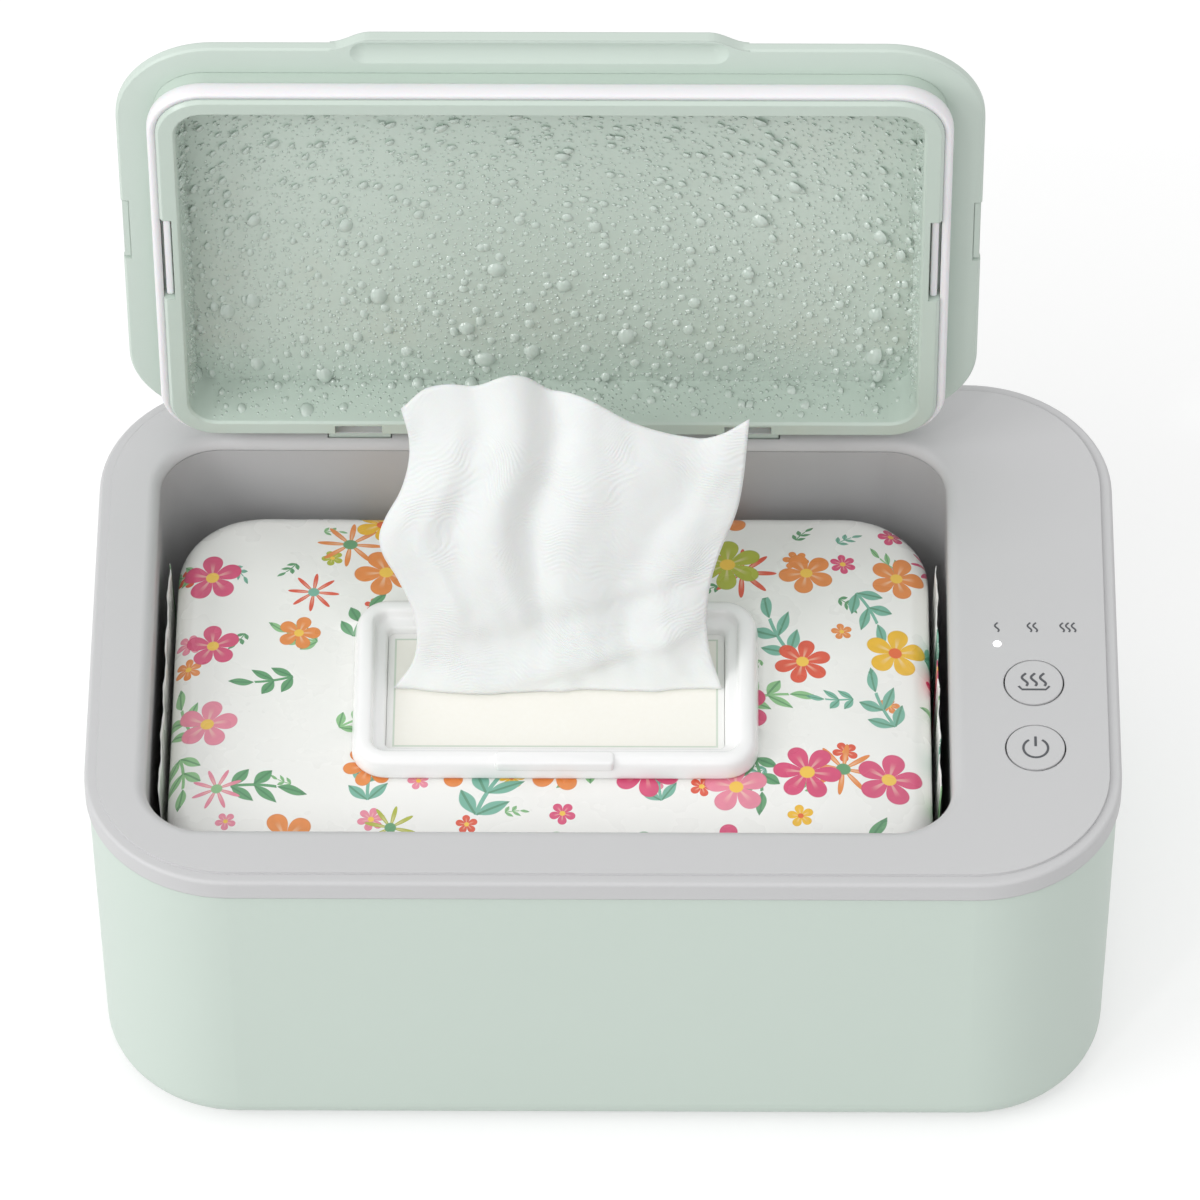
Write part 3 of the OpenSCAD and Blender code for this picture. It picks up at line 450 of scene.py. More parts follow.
def rounded_off(obj):
    """One level of subdivision, as a plain mesh."""
    sub = obj.modifiers.new("round", "SUBSURF")
    sub.levels = sub.render_levels = 1
    return bake_modifiers(obj)


def thickened(obj, thickness):
    """A sheet made a closed solid, with its sheet in the middle."""
    thick = obj.modifiers.new("thick", "SOLIDIFY")
    thick.thickness = thickness
    thick.offset = 0
    return outward(bake_modifiers(obj))


def grid_faces(cols, rows):
    """Quads of a sheet whose points run along its columns first."""
    corners = [(j * (cols + 1) + i) for j in range(rows) for i in range(cols)]
    return [(n, n + 1, n + cols + 2, n + cols + 1) for n in corners]


def dress(obj, mat):
    """Gives a mesh one material."""
    obj.data.materials.clear()
    obj.data.materials.append(mat)


def corner_loop(w, d, r, z, arc=12, side=10):
    """Points round a rectangle with round corners, with the same count for every size."""
    points = []
    r = max(r, 1e-6)
    for k, (sx, sy) in enumerate(((1, 1), (-1, 1), (-1, -1), (1, -1))):
        cx, cy = sx * (w / 2 - r), sy * (d / 2 - r)
        for n in range(arc + 1):
            a = math.pi / 2 * (k + n / arc)
            points.append(Vector((cx + r * math.cos(a), cy + r * math.sin(a), z)))
        nsx, nsy = ((-1, 1), (-1, -1), (1, -1), (1, 1))[k]
        a = math.pi / 2 * (k + 1)
        ex, ey = nsx * (w / 2 - r) + r * math.cos(a), nsy * (d / 2 - r) + r * math.sin(a)
        start = points[-1]
        for n in range(1, side):
            points.append(start.lerp(Vector((ex, ey, z)), n / side))
    return points


def loft(name, loops, mats, closed=False):
    """Skin of quads through loops of equal length: a ring if it is closed, and else capped."""
    n = len(loops[0])
    verts = [p for loop in loops for p in loop]
    faces = []
    rows = len(loops) if closed else len(loops) - 1
    for j in range(rows):
        a0, b0 = j * n, ((j + 1) % len(loops)) * n
        for i in range(n):
            k = (i + 1) % n
            faces.append((a0 + i, a0 + k, b0 + k, b0 + i))
    if not closed:
        faces.append(tuple(reversed(range(n))))
        faces.append(tuple(range((len(loops) - 1) * n, len(loops) * n)))
    return outward(new_object(name, verts, faces, mats))


# ------------------------------------------------------------------ the lid's turn
HINGE = next(j for j in frame["joints"] if j["name"] == "lid_hinge")
HINGE_AT = Vector(HINGE["pos_m"])
OPEN_ANGLE = math.radians(HINGE["range_deg"][1])


def opened(p):
    """Where a point of the closed lid lies on the open lid."""
    return HINGE_AT + Matrix.Rotation(-OPEN_ANGLE, 3, "X") @ (Vector(p) - HINGE_AT)


def closed(p):
    """Where a point of the open lid lies on the closed lid."""
    return HINGE_AT + Matrix.Rotation(OPEN_ANGLE, 3, "X") @ (Vector(p) - HINGE_AT)


def closed_box(node):
    """Box of a lid node as it lies on the closed lid."""
    points = [closed(v.co) for v in NODES[node].data.vertices]
    return (Vector(min(p[k] for p in points) for k in range(3)),
            Vector(max(p[k] for p in points) for k in range(3)))


make_camera()

# ------------------------------------------------------------------ finishes
WHITE = (1, 1, 1, 1)
MINT = srgb(206, 219, 210)
MINT_LINER = srgb(199, 213, 203)
GREY = srgb(204, 204, 205)
WELL_GREY = srgb(188, 188, 189)

mint_plastic = plastic("mint_plastic", MINT, gloss=0.42, drift=0.02, depth=0.000008, specular=0.42)
mint_liner = plastic("mint_liner", MINT_LINER, gloss=0.3, drift=0.03, coat=0.25, depth=0.00001)
grey_plastic = plastic("grey_plastic", GREY, gloss=0.44, drift=0.015, depth=0.000008, specular=0.4)
well_plastic = plastic("well_plastic", WELL_GREY, gloss=0.4, drift=0.015, depth=0.000008, specular=0.4)
seal_silicone = plastic("seal_silicone", srgb(241, 239, 242), gloss=0.34, drift=0.01, grain=0.0009,
                        subsurface=0.1)
white_plastic = plastic("white_plastic", srgb(251, 251, 251), gloss=0.26, drift=0.008, coat=0.15)
base_plastic = plastic("base_plastic", srgb(225, 226, 224), gloss=0.5)
black_plastic = plastic("black_plastic", srgb(38, 38, 40), gloss=0.45, drift=0.1)
feet_rubber = plastic("feet_rubber", srgb(66, 66, 68), gloss=0.75, drift=0.12, grain=0.0008,
                      depth=0.00003)
board_mask = plastic("board_mask", srgb(30, 98, 58), gloss=0.32, drift=0.1)
wire_red = plastic("wire_red", srgb(178, 40, 34), gloss=0.4, drift=0.05)
foam = plastic("foam", srgb(226, 226, 218), gloss=0.85, drift=0.06, grain=0.0012, depth=0.0001)
polyimide = plastic("polyimide", srgb(190, 106, 42), gloss=0.25, drift=0.08, coat=0.3)
ribbon = plastic("ribbon", srgb(214, 214, 208), gloss=0.5, drift=0.05)
light_guide = plastic("light_guide", srgb(236, 242, 246), gloss=0.12, drift=0.0)
steel = metal("steel", srgb(196, 197, 200), 0.32)
aluminium = metal("aluminium", srgb(212, 213, 216), 0.28)

CAD_FINISH = {
    "outer_shell": mint_plastic, "base_plate": base_plastic, "top_bezel": grey_plastic,
    "well_tank": well_plastic, "heating_plate": aluminium, "heater_film": polyimide,
    "insulation_pad": foam, "temperature_sensor": black_plastic, "thermal_fuse": steel,
    "heater_leads": wire_red, "control_board": board_mask, "board_chips": black_plastic,
    "heat_switch": black_plastic, "power_switch": black_plastic, "indicator_leds": white_plastic,
    "light_pipes": light_guide, "ribbon_cable": ribbon, "power_board": board_mask,
    "power_parts": black_plastic, "inlet_leads": wire_red, "dc_inlet": black_plastic,
    "rubber_feet": feet_rubber, "base_screws": steel, "tank_screws": steel, "board_screws": steel,
    "hinge_pins": steel, "lid_cover": mint_plastic, "lid_liner": mint_liner,
    "lid_catches": mint_plastic, "heat_button": grey_plastic, "power_button": grey_plastic,
    "heat_plunger": black_plastic, "power_plunger": black_plastic,
}

for node_name, finish in CAD_FINISH.items():
    dress(NODES[node_name], finish)

# ------------------------------------------------------------------ pack of wipes
PACK_FIN_REACH = 2.0 * MM
PACK_CORNER = 22 * MM            # round upright corners of the bag
PACK_EDGE = 6 * MM               # round upper edge
PACK_CROWN = 2.2 * MM            # how far the bag's top rises from its edge to its middle
# the bag's section in mm: (inset, height from the bottom), then (inset, depth under its top)
PACK_SIDE = ((26, 0.0), (10, 0.0), (5, 0.4), (2, 2.0), (0.6, 6), (0.2, 20), (0.0, 40), (0.2, 54))
PACK_ROOF = ((12, 1.4), (18, 0.8), (26, 0.3), (34, 0.05), (46, 0.0))
FILM_T = 0.25 * MM
CRIMP_INSET = 20 * MM            # a crimp ends this far from the bag's front and back
CRIMP_REACH = 30 * MM            # and starts this far under the frame
pack_lo, pack_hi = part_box("wipes_pack")
frame_lo, frame_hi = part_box("pack_frame")
PACK_TOP = frame_lo.z
PACK_MID = (pack_lo + pack_hi) / 2
PACK_W = pack_hi.x - pack_lo.x - 2 * PACK_FIN_REACH
PACK_D = pack_hi.y - pack_lo.y
# cell in mm, seed, largest motif in cells, then the shares of flowers, bursts and blank cells
PRINT_LAYERS = ((12.0, 7.3, 0.30, 0.22, 0.0, 0.62), (25.0, 3.7, 0.50, 0.0, 0.14, 0.12),
                (22.0, 11.9, 0.42, 0.52, 0.10, 0.30))


def print_film():
    """White film with a scattered print of flowers and sprigs, and a soft gloss."""
    mat, t, bsdf = material("printed_film")
    where = t.here()
    colour = srgb(250, 250, 247)
    for cell, seed, largest, flowers, bursts, blanks in PRINT_LAYERS:
        colour = t.fill(t.add("ShaderNodeGroup", node_tree=SCATTER), {
            "Vector": where, "Ground": colour, "Cell": cell * MM, "Seed": seed, "Largest": largest,
            "Flowers": flowers, "Bursts": bursts, "Blanks": blanks}).outputs[0]
    t.fill(bsdf, {
        "Base Color": colour, "Roughness": t.plus(0.2, t.times(t.noise(where, 60.0, 3.0), 0.16)),
        "Normal": bump(t, t.noise(where, 90.0, 4.0), 0.0005, 0.35),
        "Coat Weight": 0.35, "Coat Roughness": 0.12})
    return mat


def build_pack():
    """The film bag: full sides, a crowned top that is flat under its frame, and soft creases."""
    film = print_film()
    height = PACK_TOP - pack_lo.z
    loops = [(inset * MM, z * MM) for inset, z in PACK_SIDE]
    for k in range(1, 9):
        a = math.pi / 2 * k / 8
        loops.append((0.2 * MM + PACK_EDGE * (1 - math.cos(a)),
                      height - PACK_CROWN - PACK_EDGE + PACK_EDGE * math.sin(a)))
    loops += [(inset * MM, height - z * MM) for inset, z in PACK_ROOF]
    skins = []
    for inset, z in loops:
        r = max(PACK_CORNER - inset * 0.6, 4 * MM)
        skins.append([p + Vector((PACK_MID.x, PACK_MID.y, pack_lo.z))
                      for p in corner_loop(PACK_W - 2 * inset, PACK_D - 2 * inset, r, z, 14, 24)])
    pack = loft("pack_of_wipes", skins, [film])
    for v in pack.data.vertices:
        p = v.co
        edge_share = max(abs(p.x - PACK_MID.x) / (PACK_W / 2), abs(p.y - PACK_MID.y) / (PACK_D / 2))
        # the creases grow towards the bag's edges and leave its middle flat
        push = max(0.0, edge_share - 0.62) * 3.2 * MM
        crease = noise.noise(Vector((p.x * 55, p.y * 55, p.z * 30)))
        small = noise.noise(Vector((p.x * 160, p.y * 130, p.z * 90)))
        if p.z > pack_lo.z + 10 * MM:
            v.co.z += push * (0.5 * crease + 0.25 * small) - push * 0.45
    rounded_off(pack)
    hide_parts("wipes_pack")
    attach(pack, "root")
    return film


def build_crimps(film):
    """The crimped ends of the film, which stand up beside the well's walls."""
    for side, name in ((-1, "pack_crimp_left"), (1, "pack_crimp_right")):
        rows, cols = 14, 60
        length = PACK_D - 2 * CRIMP_INSET
        x0 = PACK_MID.x + side * (PACK_W / 2 + 0.3 * MM)
        verts = []
        for j in range(rows + 1):
            up = j / rows
            for i in range(cols + 1):
                s = i / cols
                narrow = 1 - 0.06 * up
                y = PACK_MID.y + (s - 0.5) * length * narrow
                wave = 0.2 * math.sin(s * 31) * up + 0.08 * math.sin(s * 83)
                z = PACK_TOP - CRIMP_REACH + up * (30.5 + 0.7 * math.sin(s * 9)) * MM
                verts.append((x0 + side * (1.2 * up + wave * up) * MM, y, z))
        crimp = thickened(new_object(name, verts, grid_faces(cols, rows), [film]), FILM_T)
        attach(crimp, "root")


build_crimps(build_pack())

# ------------------------------------------------------------------ the pack's hard frame and label
FRAME_MID = (frame_lo + frame_hi) / 2
FRAME_W, FRAME_D = frame_hi.x - frame_lo.x, frame_hi.y - frame_lo.y
FRAME_H = frame_hi.z - frame_lo.z
FRAME_R = 9 * MM
# the ring's section in mm: (distance inwards, height)
FRAME_SECTION = (
    (0.0, 0.0), (-0.1, 0.6), (0.3, 3.0), (0.7, 4.6), (1.5, 5.6), (2.6, 6.0), (4.0, 6.0), (4.8, 5.8),
    (5.2, 5.2), (5.4, 3.8), (5.8, 3.3), (7.6, 3.1), (8.2, 2.8), (8.5, 2.2), (8.55, 0.5), (8.75, 0.4),
    (8.75, 0.0))
LATCH_W, LATCH_D = 30 * MM, 4.4 * MM
LATCH_OVER, LATCH_H = 0.5 * MM, 3.1 * MM     # above the frame's top, and in all
LATCH_R, LATCH_EDGE = 1.2 * MM, 0.6 * MM


def build_pack_frame():
    """White ring with a rounded crown and a step round its window."""
    loops = []
    for inset, z in FRAME_SECTION:
        i = max(inset, 0.0) * MM
        loops.append([p + Vector((FRAME_MID.x, FRAME_MID.y, frame_lo.z)) for p in
                      corner_loop(FRAME_W - 2 * i, FRAME_D - 2 * i, max(FRAME_R - i, 2 * MM),
                                  min(z * MM, FRAME_H), 10, 12)])
    ring = rounded_off(loft("flip_frame", loops, [white_plastic], closed=True))
    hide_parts("pack_frame")
    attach(ring, "root")


def rounded_box(name, lo, hi, r, edge, mats, body):
    """Box with round upright corners and rounded edges."""
    mid = Vector(((lo[0] + hi[0]) / 2, (lo[1] + hi[1]) / 2, 0))
    w, d = hi[0] - lo[0], hi[1] - lo[1]
    angles = [math.pi / 2 * k / 4 for k in range(5)]
    loops = [(edge * (1 - math.sin(a)), lo[2] + edge * (1 - math.cos(a))) for a in angles]
    loops += [(edge * (1 - math.cos(a)), hi[2] - edge * (1 - math.sin(a))) for a in angles]
    skins = [[mid + p for p in corner_loop(w - 2 * i, d - 2 * i, max(r - i, 1e-5), z, 6, 4)]
             for i, z in loops]
    obj = loft(name, skins, mats)
    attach(obj, body)
    return obj


def build_latch():
    """The thumb latch in the middle of the frame's front."""
    top = frame_hi.z + LATCH_OVER
    y0 = frame_lo.y - 0.2 * MM
    rounded_box("frame_latch", (FRAME_MID.x - LATCH_W / 2, y0, top - LATCH_H),
                (FRAME_MID.x + LATCH_W / 2, y0 + LATCH_D, top), LATCH_R, LATCH_EDGE,
                [white_plastic], "root")


def print_label():
    """Cream card with a thin border line."""
    mat, t, bsdf = material("label_card")
    where = t.here()
    lo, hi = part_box("pack_label")
    mid = (lo + hi) / 2
    x, y, _ = t.split(t.vmath("SUBTRACT", where, (mid.x, mid.y, 0)))
    gap = t.math("MINIMUM", t.minus((hi.x - lo.x) / 2, t.math("ABSOLUTE", x)),
                 t.minus((hi.y - lo.y) / 2, t.math("ABSOLUTE", y)))
    # the line lies about 1.6 to 2.1 mm inside the card's edge
    line = t.times(t.step(gap, 1.5 * MM, 1.65 * MM), t.step(gap, 2.15 * MM, 2.0 * MM))
    outside = t.step(gap, 1.7 * MM, 1.5 * MM)
    paper = t.noise(where, 900.0, 3.0)
    cream = t.mix(paper, srgb(250, 249, 242), srgb(247, 245, 236))
    edged = t.mix(outside, cream, srgb(248, 248, 246))
    t.fill(bsdf, {"Base Color": t.mix(t.times(line, 0.55), edged, srgb(176, 200, 180)),
                  "Roughness": 0.45, "Normal": bump(t, paper, 0.00002, 0.4)})
    dress(NODES["pack_label"], mat)


build_pack_frame()
build_latch()
print_label()

# ------------------------------------------------------------------ the wipe
WIPE_FOOT = Vector((-10.5 * MM, -8.0 * MM, frame_lo.z + 1.3 * MM))
WIPE_LEAN = math.radians(24)
WIPE_T = 0.45 * MM
# outline of the wipe in its leaning plane, in mm: (height, x) up the two sides
WIPE_LEFT = ((0, -43), (6, -38.5), (12, -37), (19, -37.8), (28, -41.5), (35, -45.2), (39.5, -46.2),
             (44, -44.6), (50, -40.8), (57, -38.7), (63, -38.6), (70.5, -40.5))
WIPE_RIGHT = ((0, 40.5), (10, 37.2), (21, 36.5), (32, 38.7), (47, 44.4), (67, 47))
# and the height of the free edge across the wipe: (share of the width, height)
WIPE_TOP = ((0, 70.5), (0.08, 75.8), (0.235, 76.6), (0.35, 78.5), (0.45, 76.4), (0.55, 72.2),
            (0.67, 67.4), (0.79, 64.8), (0.92, 64.3), (1, 67))


def curve(points, x):
    """Smooth line through points, with the slope at each point taken from its neighbours."""
    x = max(points[0][0], min(points[-1][0], x))
    k = max(n for n in range(len(points) - 1) if points[n][0] <= x)

    def slope(n):
        a, b = points[max(n - 1, 0)], points[min(n + 1, len(points) - 1)]
        return (b[1] - a[1]) / (b[0] - a[0])

    (x0, y0), (x1, y1) = points[k], points[k + 1]
    w = x1 - x0
    s = (x - x0) / w
    return (y0 * (1 + 2 * s) * (1 - s) ** 2 + slope(k) * w * s * (1 - s) ** 2
            + y1 * s * s * (3 - 2 * s) + slope(k + 1) * w * s * s * (s - 1))


def hill(x, middle, width):
    return math.exp(-((x - middle) / width) ** 2)


def wipe_surface(u, v):
    """Point of the wipe at shares of its width (u, from the left) and height (v, from the foot)."""
    h = v * curve(WIPE_TOP, u)
    left = curve(WIPE_LEFT, v * WIPE_LEFT[-1][0])
    right = curve(WIPE_RIGHT, v * WIPE_RIGHT[-1][0])
    x = left * (1 - u) + right * u
    rise = min(1.0, v * 3.0)
    upper = rise * min(1.0, max(0.0, (v - 0.12) * 2.2))
    inner = min(1.0, 8 * u * (1 - u))
    # the main crease runs down from the peak: a ridge with a valley on its right
    depth = (-2.8 * hill(u, 0.31 + 0.05 * (1 - v), 0.085) + 3.6 * hill(u, 0.425 + 0.02 * (1 - v), 0.055)
             - 1.4 * hill(u, 0.54, 0.08) - 0.6 * hill(u, 0.14, 0.06) + 0.7 * hill(u, 0.21, 0.05)) * upper
    # a broad valley that bends down from the right, and a crease that rises from the foot
    depth += 2.0 * hill(u, 0.72 + 0.16 * v * v, 0.08) * rise * inner
    depth -= 1.6 * hill(v, 0.03 + 0.36 * max(0.0, u - 0.3), 0.05) * inner
    depth += 1.2 * hill(v, 0.15 + 0.40 * max(0.0, u - 0.25), 0.06) * inner
    depth -= 3.5 * math.sin(math.pi * v) * inner
    depth -= 2.5 * hill(u, 0.0, 0.12) * hill(v, 0.55, 0.16)
    depth -= 3.0 * max(0.0, v - 0.8) * 5 * max(0.0, u - 0.86) * 7
    depth += noise.noise(Vector((u * 6.0, v * 5.0, 3.1))) * 1.1 * inner
    depth += noise.noise(Vector((u * 17.0, v * 11.0, 7.7))) * 0.4
    # a fold that moves the free edge back also lowers it, which keeps its outline
    h -= 1.15 * depth * v ** 3
    return WIPE_FOOT + Vector((x, h * math.tan(WIPE_LEAN) + depth - 0.8 * math.sin(3 * u), h)) * MM


def wipe_fabric():
    """White nonwoven: fine fibres, wavy embossed lines and a soft sheen."""
    mat, t, bsdf = material("wipe_fabric")
    where = t.here()
    drift = t.fill(t.add("ShaderNodeTexNoise"), {"Vector": where, "Scale": 26.0})
    warp = t.vmath("MULTIPLY_ADD", drift.outputs["Color"], (0.05, 0.05, 0.05), where)
    waves = t.fill(t.add("ShaderNodeTexWave", wave_type="BANDS", bands_direction="Z"), {
        "Vector": warp, "Scale": 300.0, "Distortion": 1.5, "Detail": 2.0})
    patches = t.step(t.noise(where, 48.0, 2.0), 0.42, 0.6)
    fibres = t.noise(where, 2600.0, 3.0, 0.7)
    lines = t.times(waves.outputs[1], t.plus(0.1, t.times(patches, 0.35)))
    height = t.plus(lines, t.times(fibres, 0.35))
    t.fill(bsdf, {
        "Base Color": t.mix(t.times(fibres, 0.5), srgb(237, 237, 236), srgb(230, 230, 229)),
        "Roughness": 0.82, "Sheen Weight": 0.15, "Specular IOR Level": 0.25,
        "Subsurface Weight": 0.12, "Subsurface Scale": 0.004, "Normal": bump(t, height, 0.00022, 0.8)})
    return mat


def build_wipe():
    cols, rows = 84, 72
    verts = [wipe_surface(i / cols, j / rows) for j in range(rows + 1) for i in range(cols + 1)]
    sheet = new_object("standing_wipe", verts, grid_faces(cols, rows), [wipe_fabric()])
    thickened(sheet, WIPE_T)
    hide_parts("wipe")
    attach(sheet, "root")
    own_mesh(sheet)


build_wipe()

# ------------------------------------------------------------------ seal
COLLAR = Vector((0.8 * MM, 0.8 * MM, 0))     # the liner's collar, which is wider than its rim
SEAL_R, RIM_R = 14.5 * MM, 12.2 * MM         # corners of the seal and of the liner's rim
SEAL_BEAD = 0.9 * MM
SEAL_FIT = 0.05 * MM
RIB_IN, RIB_W, RIB_L = 0.7 * MM, 1.8 * MM, 28.8 * MM
RIB_UP, RIB_H = 1.4 * MM, 2.7 * MM
RIB_R, RIB_EDGE = 0.6 * MM, 0.5 * MM
RIB_FRONT = 4.3 * MM                         # the ribs lie this far in front of the rim's middle
seal_lo, seal_hi = closed_box("lid_seal")
rim_lo, rim_hi = closed_box("lid_liner")
rim_lo, rim_hi = rim_lo + COLLAR, rim_hi - COLLAR


def build_seal():
    """Silicone ring with a round bead round the root of the liner's rim."""
    h = seal_hi.z - seal_lo.z
    loops = []

    def ring_loop(lo, hi, grow, r, z):
        mid = (lo + hi) / 2
        loops.append([Vector((mid.x, mid.y, 0)) + p for p in corner_loop(
            hi.x - lo.x + 2 * grow, hi.y - lo.y + 2 * grow, r, z, 12, 10)])

    for k in range(13):
        a = math.pi * (0.5 - k / 12)
        inset = SEAL_BEAD * (1 - math.cos(a))
        ring_loop(seal_lo, seal_hi, -inset, SEAL_R - inset, (seal_lo.z + seal_hi.z + h * math.sin(a)) / 2)
    for z in (seal_lo.z + 0.02 * h, seal_hi.z - 0.02 * h):
        ring_loop(rim_lo, rim_hi, SEAL_FIT, RIM_R, z)
    ring = loft("bead_seal", loops, [seal_silicone], closed=True)
    move_points(ring, opened)
    outward(ring)
    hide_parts("lid_seal")
    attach(ring, "lid")


def build_seal_ribs():
    """The seal's ribs, which fill the notches in the sides of the liner's rim."""
    mid_y = (rim_lo.y + rim_hi.y) / 2 - RIB_FRONT
    for name, x in (("seal_rib_left", rim_lo.x + RIB_IN), ("seal_rib_right", rim_hi.x - RIB_IN - RIB_W)):
        rib = rounded_box(name, (x, mid_y - RIB_L / 2, rim_lo.z + RIB_UP),
                          (x + RIB_W, mid_y + RIB_L / 2, rim_lo.z + RIB_UP + RIB_H), RIB_R, RIB_EDGE,
                          [seal_silicone], "lid")
        move_points(rib, opened)


build_seal()
build_seal_ribs()

# ------------------------------------------------------------------ condensation on the liner
DROP_SUNK, DROP_FOOT = 0.35, 0.08            # as shares of a drop's radius
DROP_LIFT = 0.03 * MM                        # between the liner and the points that hold drops
DROP_SKEW = 2.2                              # above 1, small drops are more common than large ones
DROP_SHAPES = ((0.9, 0.9, 1.0), (1.05, 1.25, 1.0))     # least and greatest stretch of a drop
# drops per square metre, least spacing, smallest and largest radius in metres, flatness, detail, seed
DROP_SETS = (("mist_drops", 700000, 0.00118, 0.0003, 0.00065, 0.85, 1, 3),
             ("small_drops", 120000, 0.0033, 0.0007, 0.0016, 0.8, 2, 8),
             ("large_drops", 6500, 0.0075, 0.0013, 0.0028, 0.75, 3, 21))
LINER_RIM = 5 * MM
DISH_DRAFT = 1.5 * MM
DISH_DEPTH = 13.5 * MM


def water():
    """Drops on mint plastic: they show the colour under them, painted a little lighter in places as painted
    light in the water, with a clear highlight.
    """
    mat, t, bsdf = material("water")
    # a noise that paints the drops lighter in places, as painted light, and also varies their gloss
    lightening_and_gloss = t.noise(t.here(), 300.0, 1.0)
    t.fill(bsdf, {
        "Base Color": t.mix(lightening_and_gloss, srgb(199, 214, 204), srgb(215, 227, 219)),
        "IOR": 1.38, "Transmission Weight": 0.12, "Coat Weight": 1.0, "Coat Roughness": 0.03,
        "Roughness": t.times(lightening_and_gloss, 0.12)})
    return mat


def droplet_tree(mat):
    """Scatters flat drops of random size over the faces it is given."""
    tree = bpy.data.node_groups.new("droplets", "GeometryNodeTree")
    t = Tree(tree)
    whole = "NodeSocketInt"
    tree.interface.new_socket("Geometry", in_out="INPUT", socket_type="NodeSocketGeometry")
    for label, kind in (("Density", FLOAT), ("Spacing", FLOAT), ("Smallest", FLOAT), ("Largest", FLOAT),
                        ("Flatness", FLOAT), ("Detail", whole), ("Seed", whole)):
        tree.interface.new_socket(label, in_out="INPUT", socket_type=kind)
    tree.interface.new_socket("Geometry", in_out="OUTPUT", socket_type="NodeSocketGeometry")

    def node(kind, values, **settings):
        return t.fill(t.add(kind, **settings), values).outputs

    given, end = t.add("NodeGroupInput").outputs, t.add("NodeGroupOutput")
    points = node("GeometryNodeDistributePointsOnFaces", {
        "Mesh": given["Geometry"], "Distance Min": given["Spacing"], "Density Max": given["Density"],
        "Seed": given["Seed"]}, distribute_method="POISSON")
    ball = node("GeometryNodeMeshIcoSphere", {"Radius": 1.0, "Subdivisions": given["Detail"]})
    # the ball is sunk and its underside is pressed flat, so that it meets the liner at a low angle
    x, y, z = t.split(t.add("GeometryNodeInputPosition").outputs[0])
    drop = node("GeometryNodeSetPosition", {
        "Geometry": ball["Mesh"],
        "Position": t.join(x, y, t.math("MAXIMUM", t.minus(z, DROP_SUNK), -DROP_FOOT))})
    draw = node("FunctionNodeRandomValue", {"Seed": given["Seed"]}, data_type="FLOAT")
    size = node("ShaderNodeMapRange", {
        "Value": t.math("POWER", draw[1], DROP_SKEW),
        "To Min": given["Smallest"], "To Max": given["Largest"]})
    shape = node("FunctionNodeRandomValue", {
        0: DROP_SHAPES[0], 1: DROP_SHAPES[1], "Seed": 5}, data_type="FLOAT_VECTOR")
    flat = t.vmath("MULTIPLY", shape[0], t.join(1.0, 1.0, given["Flatness"]))
    scale = node("ShaderNodeVectorMath", {0: flat, "Scale": size[0]}, operation="SCALE")
    placed = node("GeometryNodeInstanceOnPoints", {
        "Points": points["Points"], "Instance": drop[0], "Rotation": points["Rotation"], "Scale": scale[0]})
    real = node("GeometryNodeRealizeInstances", {0: placed[0]})
    smooth = node("GeometryNodeSetShadeSmooth", {0: real[0]})
    wet = node("GeometryNodeSetMaterial", {0: smooth[0], "Material": mat})
    t.link(wet[0], end.inputs[0])
    return tree


def run_tree(obj, tree, **values):
    """Puts a Geometry Nodes tree on an object with its inputs set, and makes the result a mesh."""
    mod = obj.modifiers.new("nodes", "NODES")
    mod.node_group = tree
    for item in tree.interface.items_tree:
        if item.in_out == "INPUT" and item.name.lower() in values:
            mod[item.identifier] = values[item.name.lower()]
    return bake_modifiers(obj)


def dish_faces(lift, margin):
    """The dish's floor and four walls, as faces that look into the dish."""
    verts = []
    for inset, z in ((LINER_RIM + lift, rim_lo.z + margin),
                     (LINER_RIM + DISH_DRAFT + lift, rim_lo.z + DISH_DEPTH - lift)):
        x0, x1 = rim_lo.x + inset, rim_hi.x - inset
        y0, y1 = rim_lo.y + inset, rim_hi.y - inset
        verts += [opened(p) for p in ((x0, y0, z), (x1, y0, z), (x1, y1, z), (x0, y1, z))]
    faces = [(7, 6, 5, 4)] + [(k, 4 + k, 4 + (k + 1) % 4, (k + 1) % 4) for k in range(4)]
    return verts, faces


def build_droplets():
    tree = droplet_tree(water())
    for name, density, spacing, small, large, flat, detail, seed in DROP_SETS:
        verts, faces = dish_faces(DROP_LIFT, 1.0 * MM + large)
        drops = new_object(name, verts, faces, [])
        run_tree(drops, tree, density=density, spacing=spacing, smallest=small, largest=large,
                 flatness=flat, detail=detail, seed=seed)
        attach(drops, "lid")


build_droplets()

# ------------------------------------------------------------------ marks on the panel
bezel_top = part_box("top_bezel")[1].z
heat_lo, heat_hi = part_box("heat_button")
power_lo, power_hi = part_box("power_button")
HEAT_AT = (heat_lo + heat_hi) / 2
POWER_AT = (power_lo + power_hi) / 2
CAP_TOP = heat_hi.z
MARK_T = 0.06 * MM
MARK_LIFT = 0.005 * MM
STROKE, LEVEL_STROKE = 0.62 * MM, 0.44 * MM
LEVEL_PITCH = 9 * MM             # between the level icons
WAVE_PITCH = 1.45 * MM           # between the waves of a level icon
LAMP_SECTION = ((1.05, 0.0), (1.05, 0.05), (0.9, 0.11), (0.5, 0.16))     # (radius, height) in mm

mark_ink = plastic("mark_ink", srgb(84, 86, 90), gloss=0.5, drift=0.0, edge=0.00002)


def lamp_glow():
    mat, t, bsdf = material("lamp_glow")
    t.fill(bsdf, {"Base Color": WHITE, "Emission Color": WHITE, "Emission Strength": 1.4, "Roughness": 0.3})
    return mat


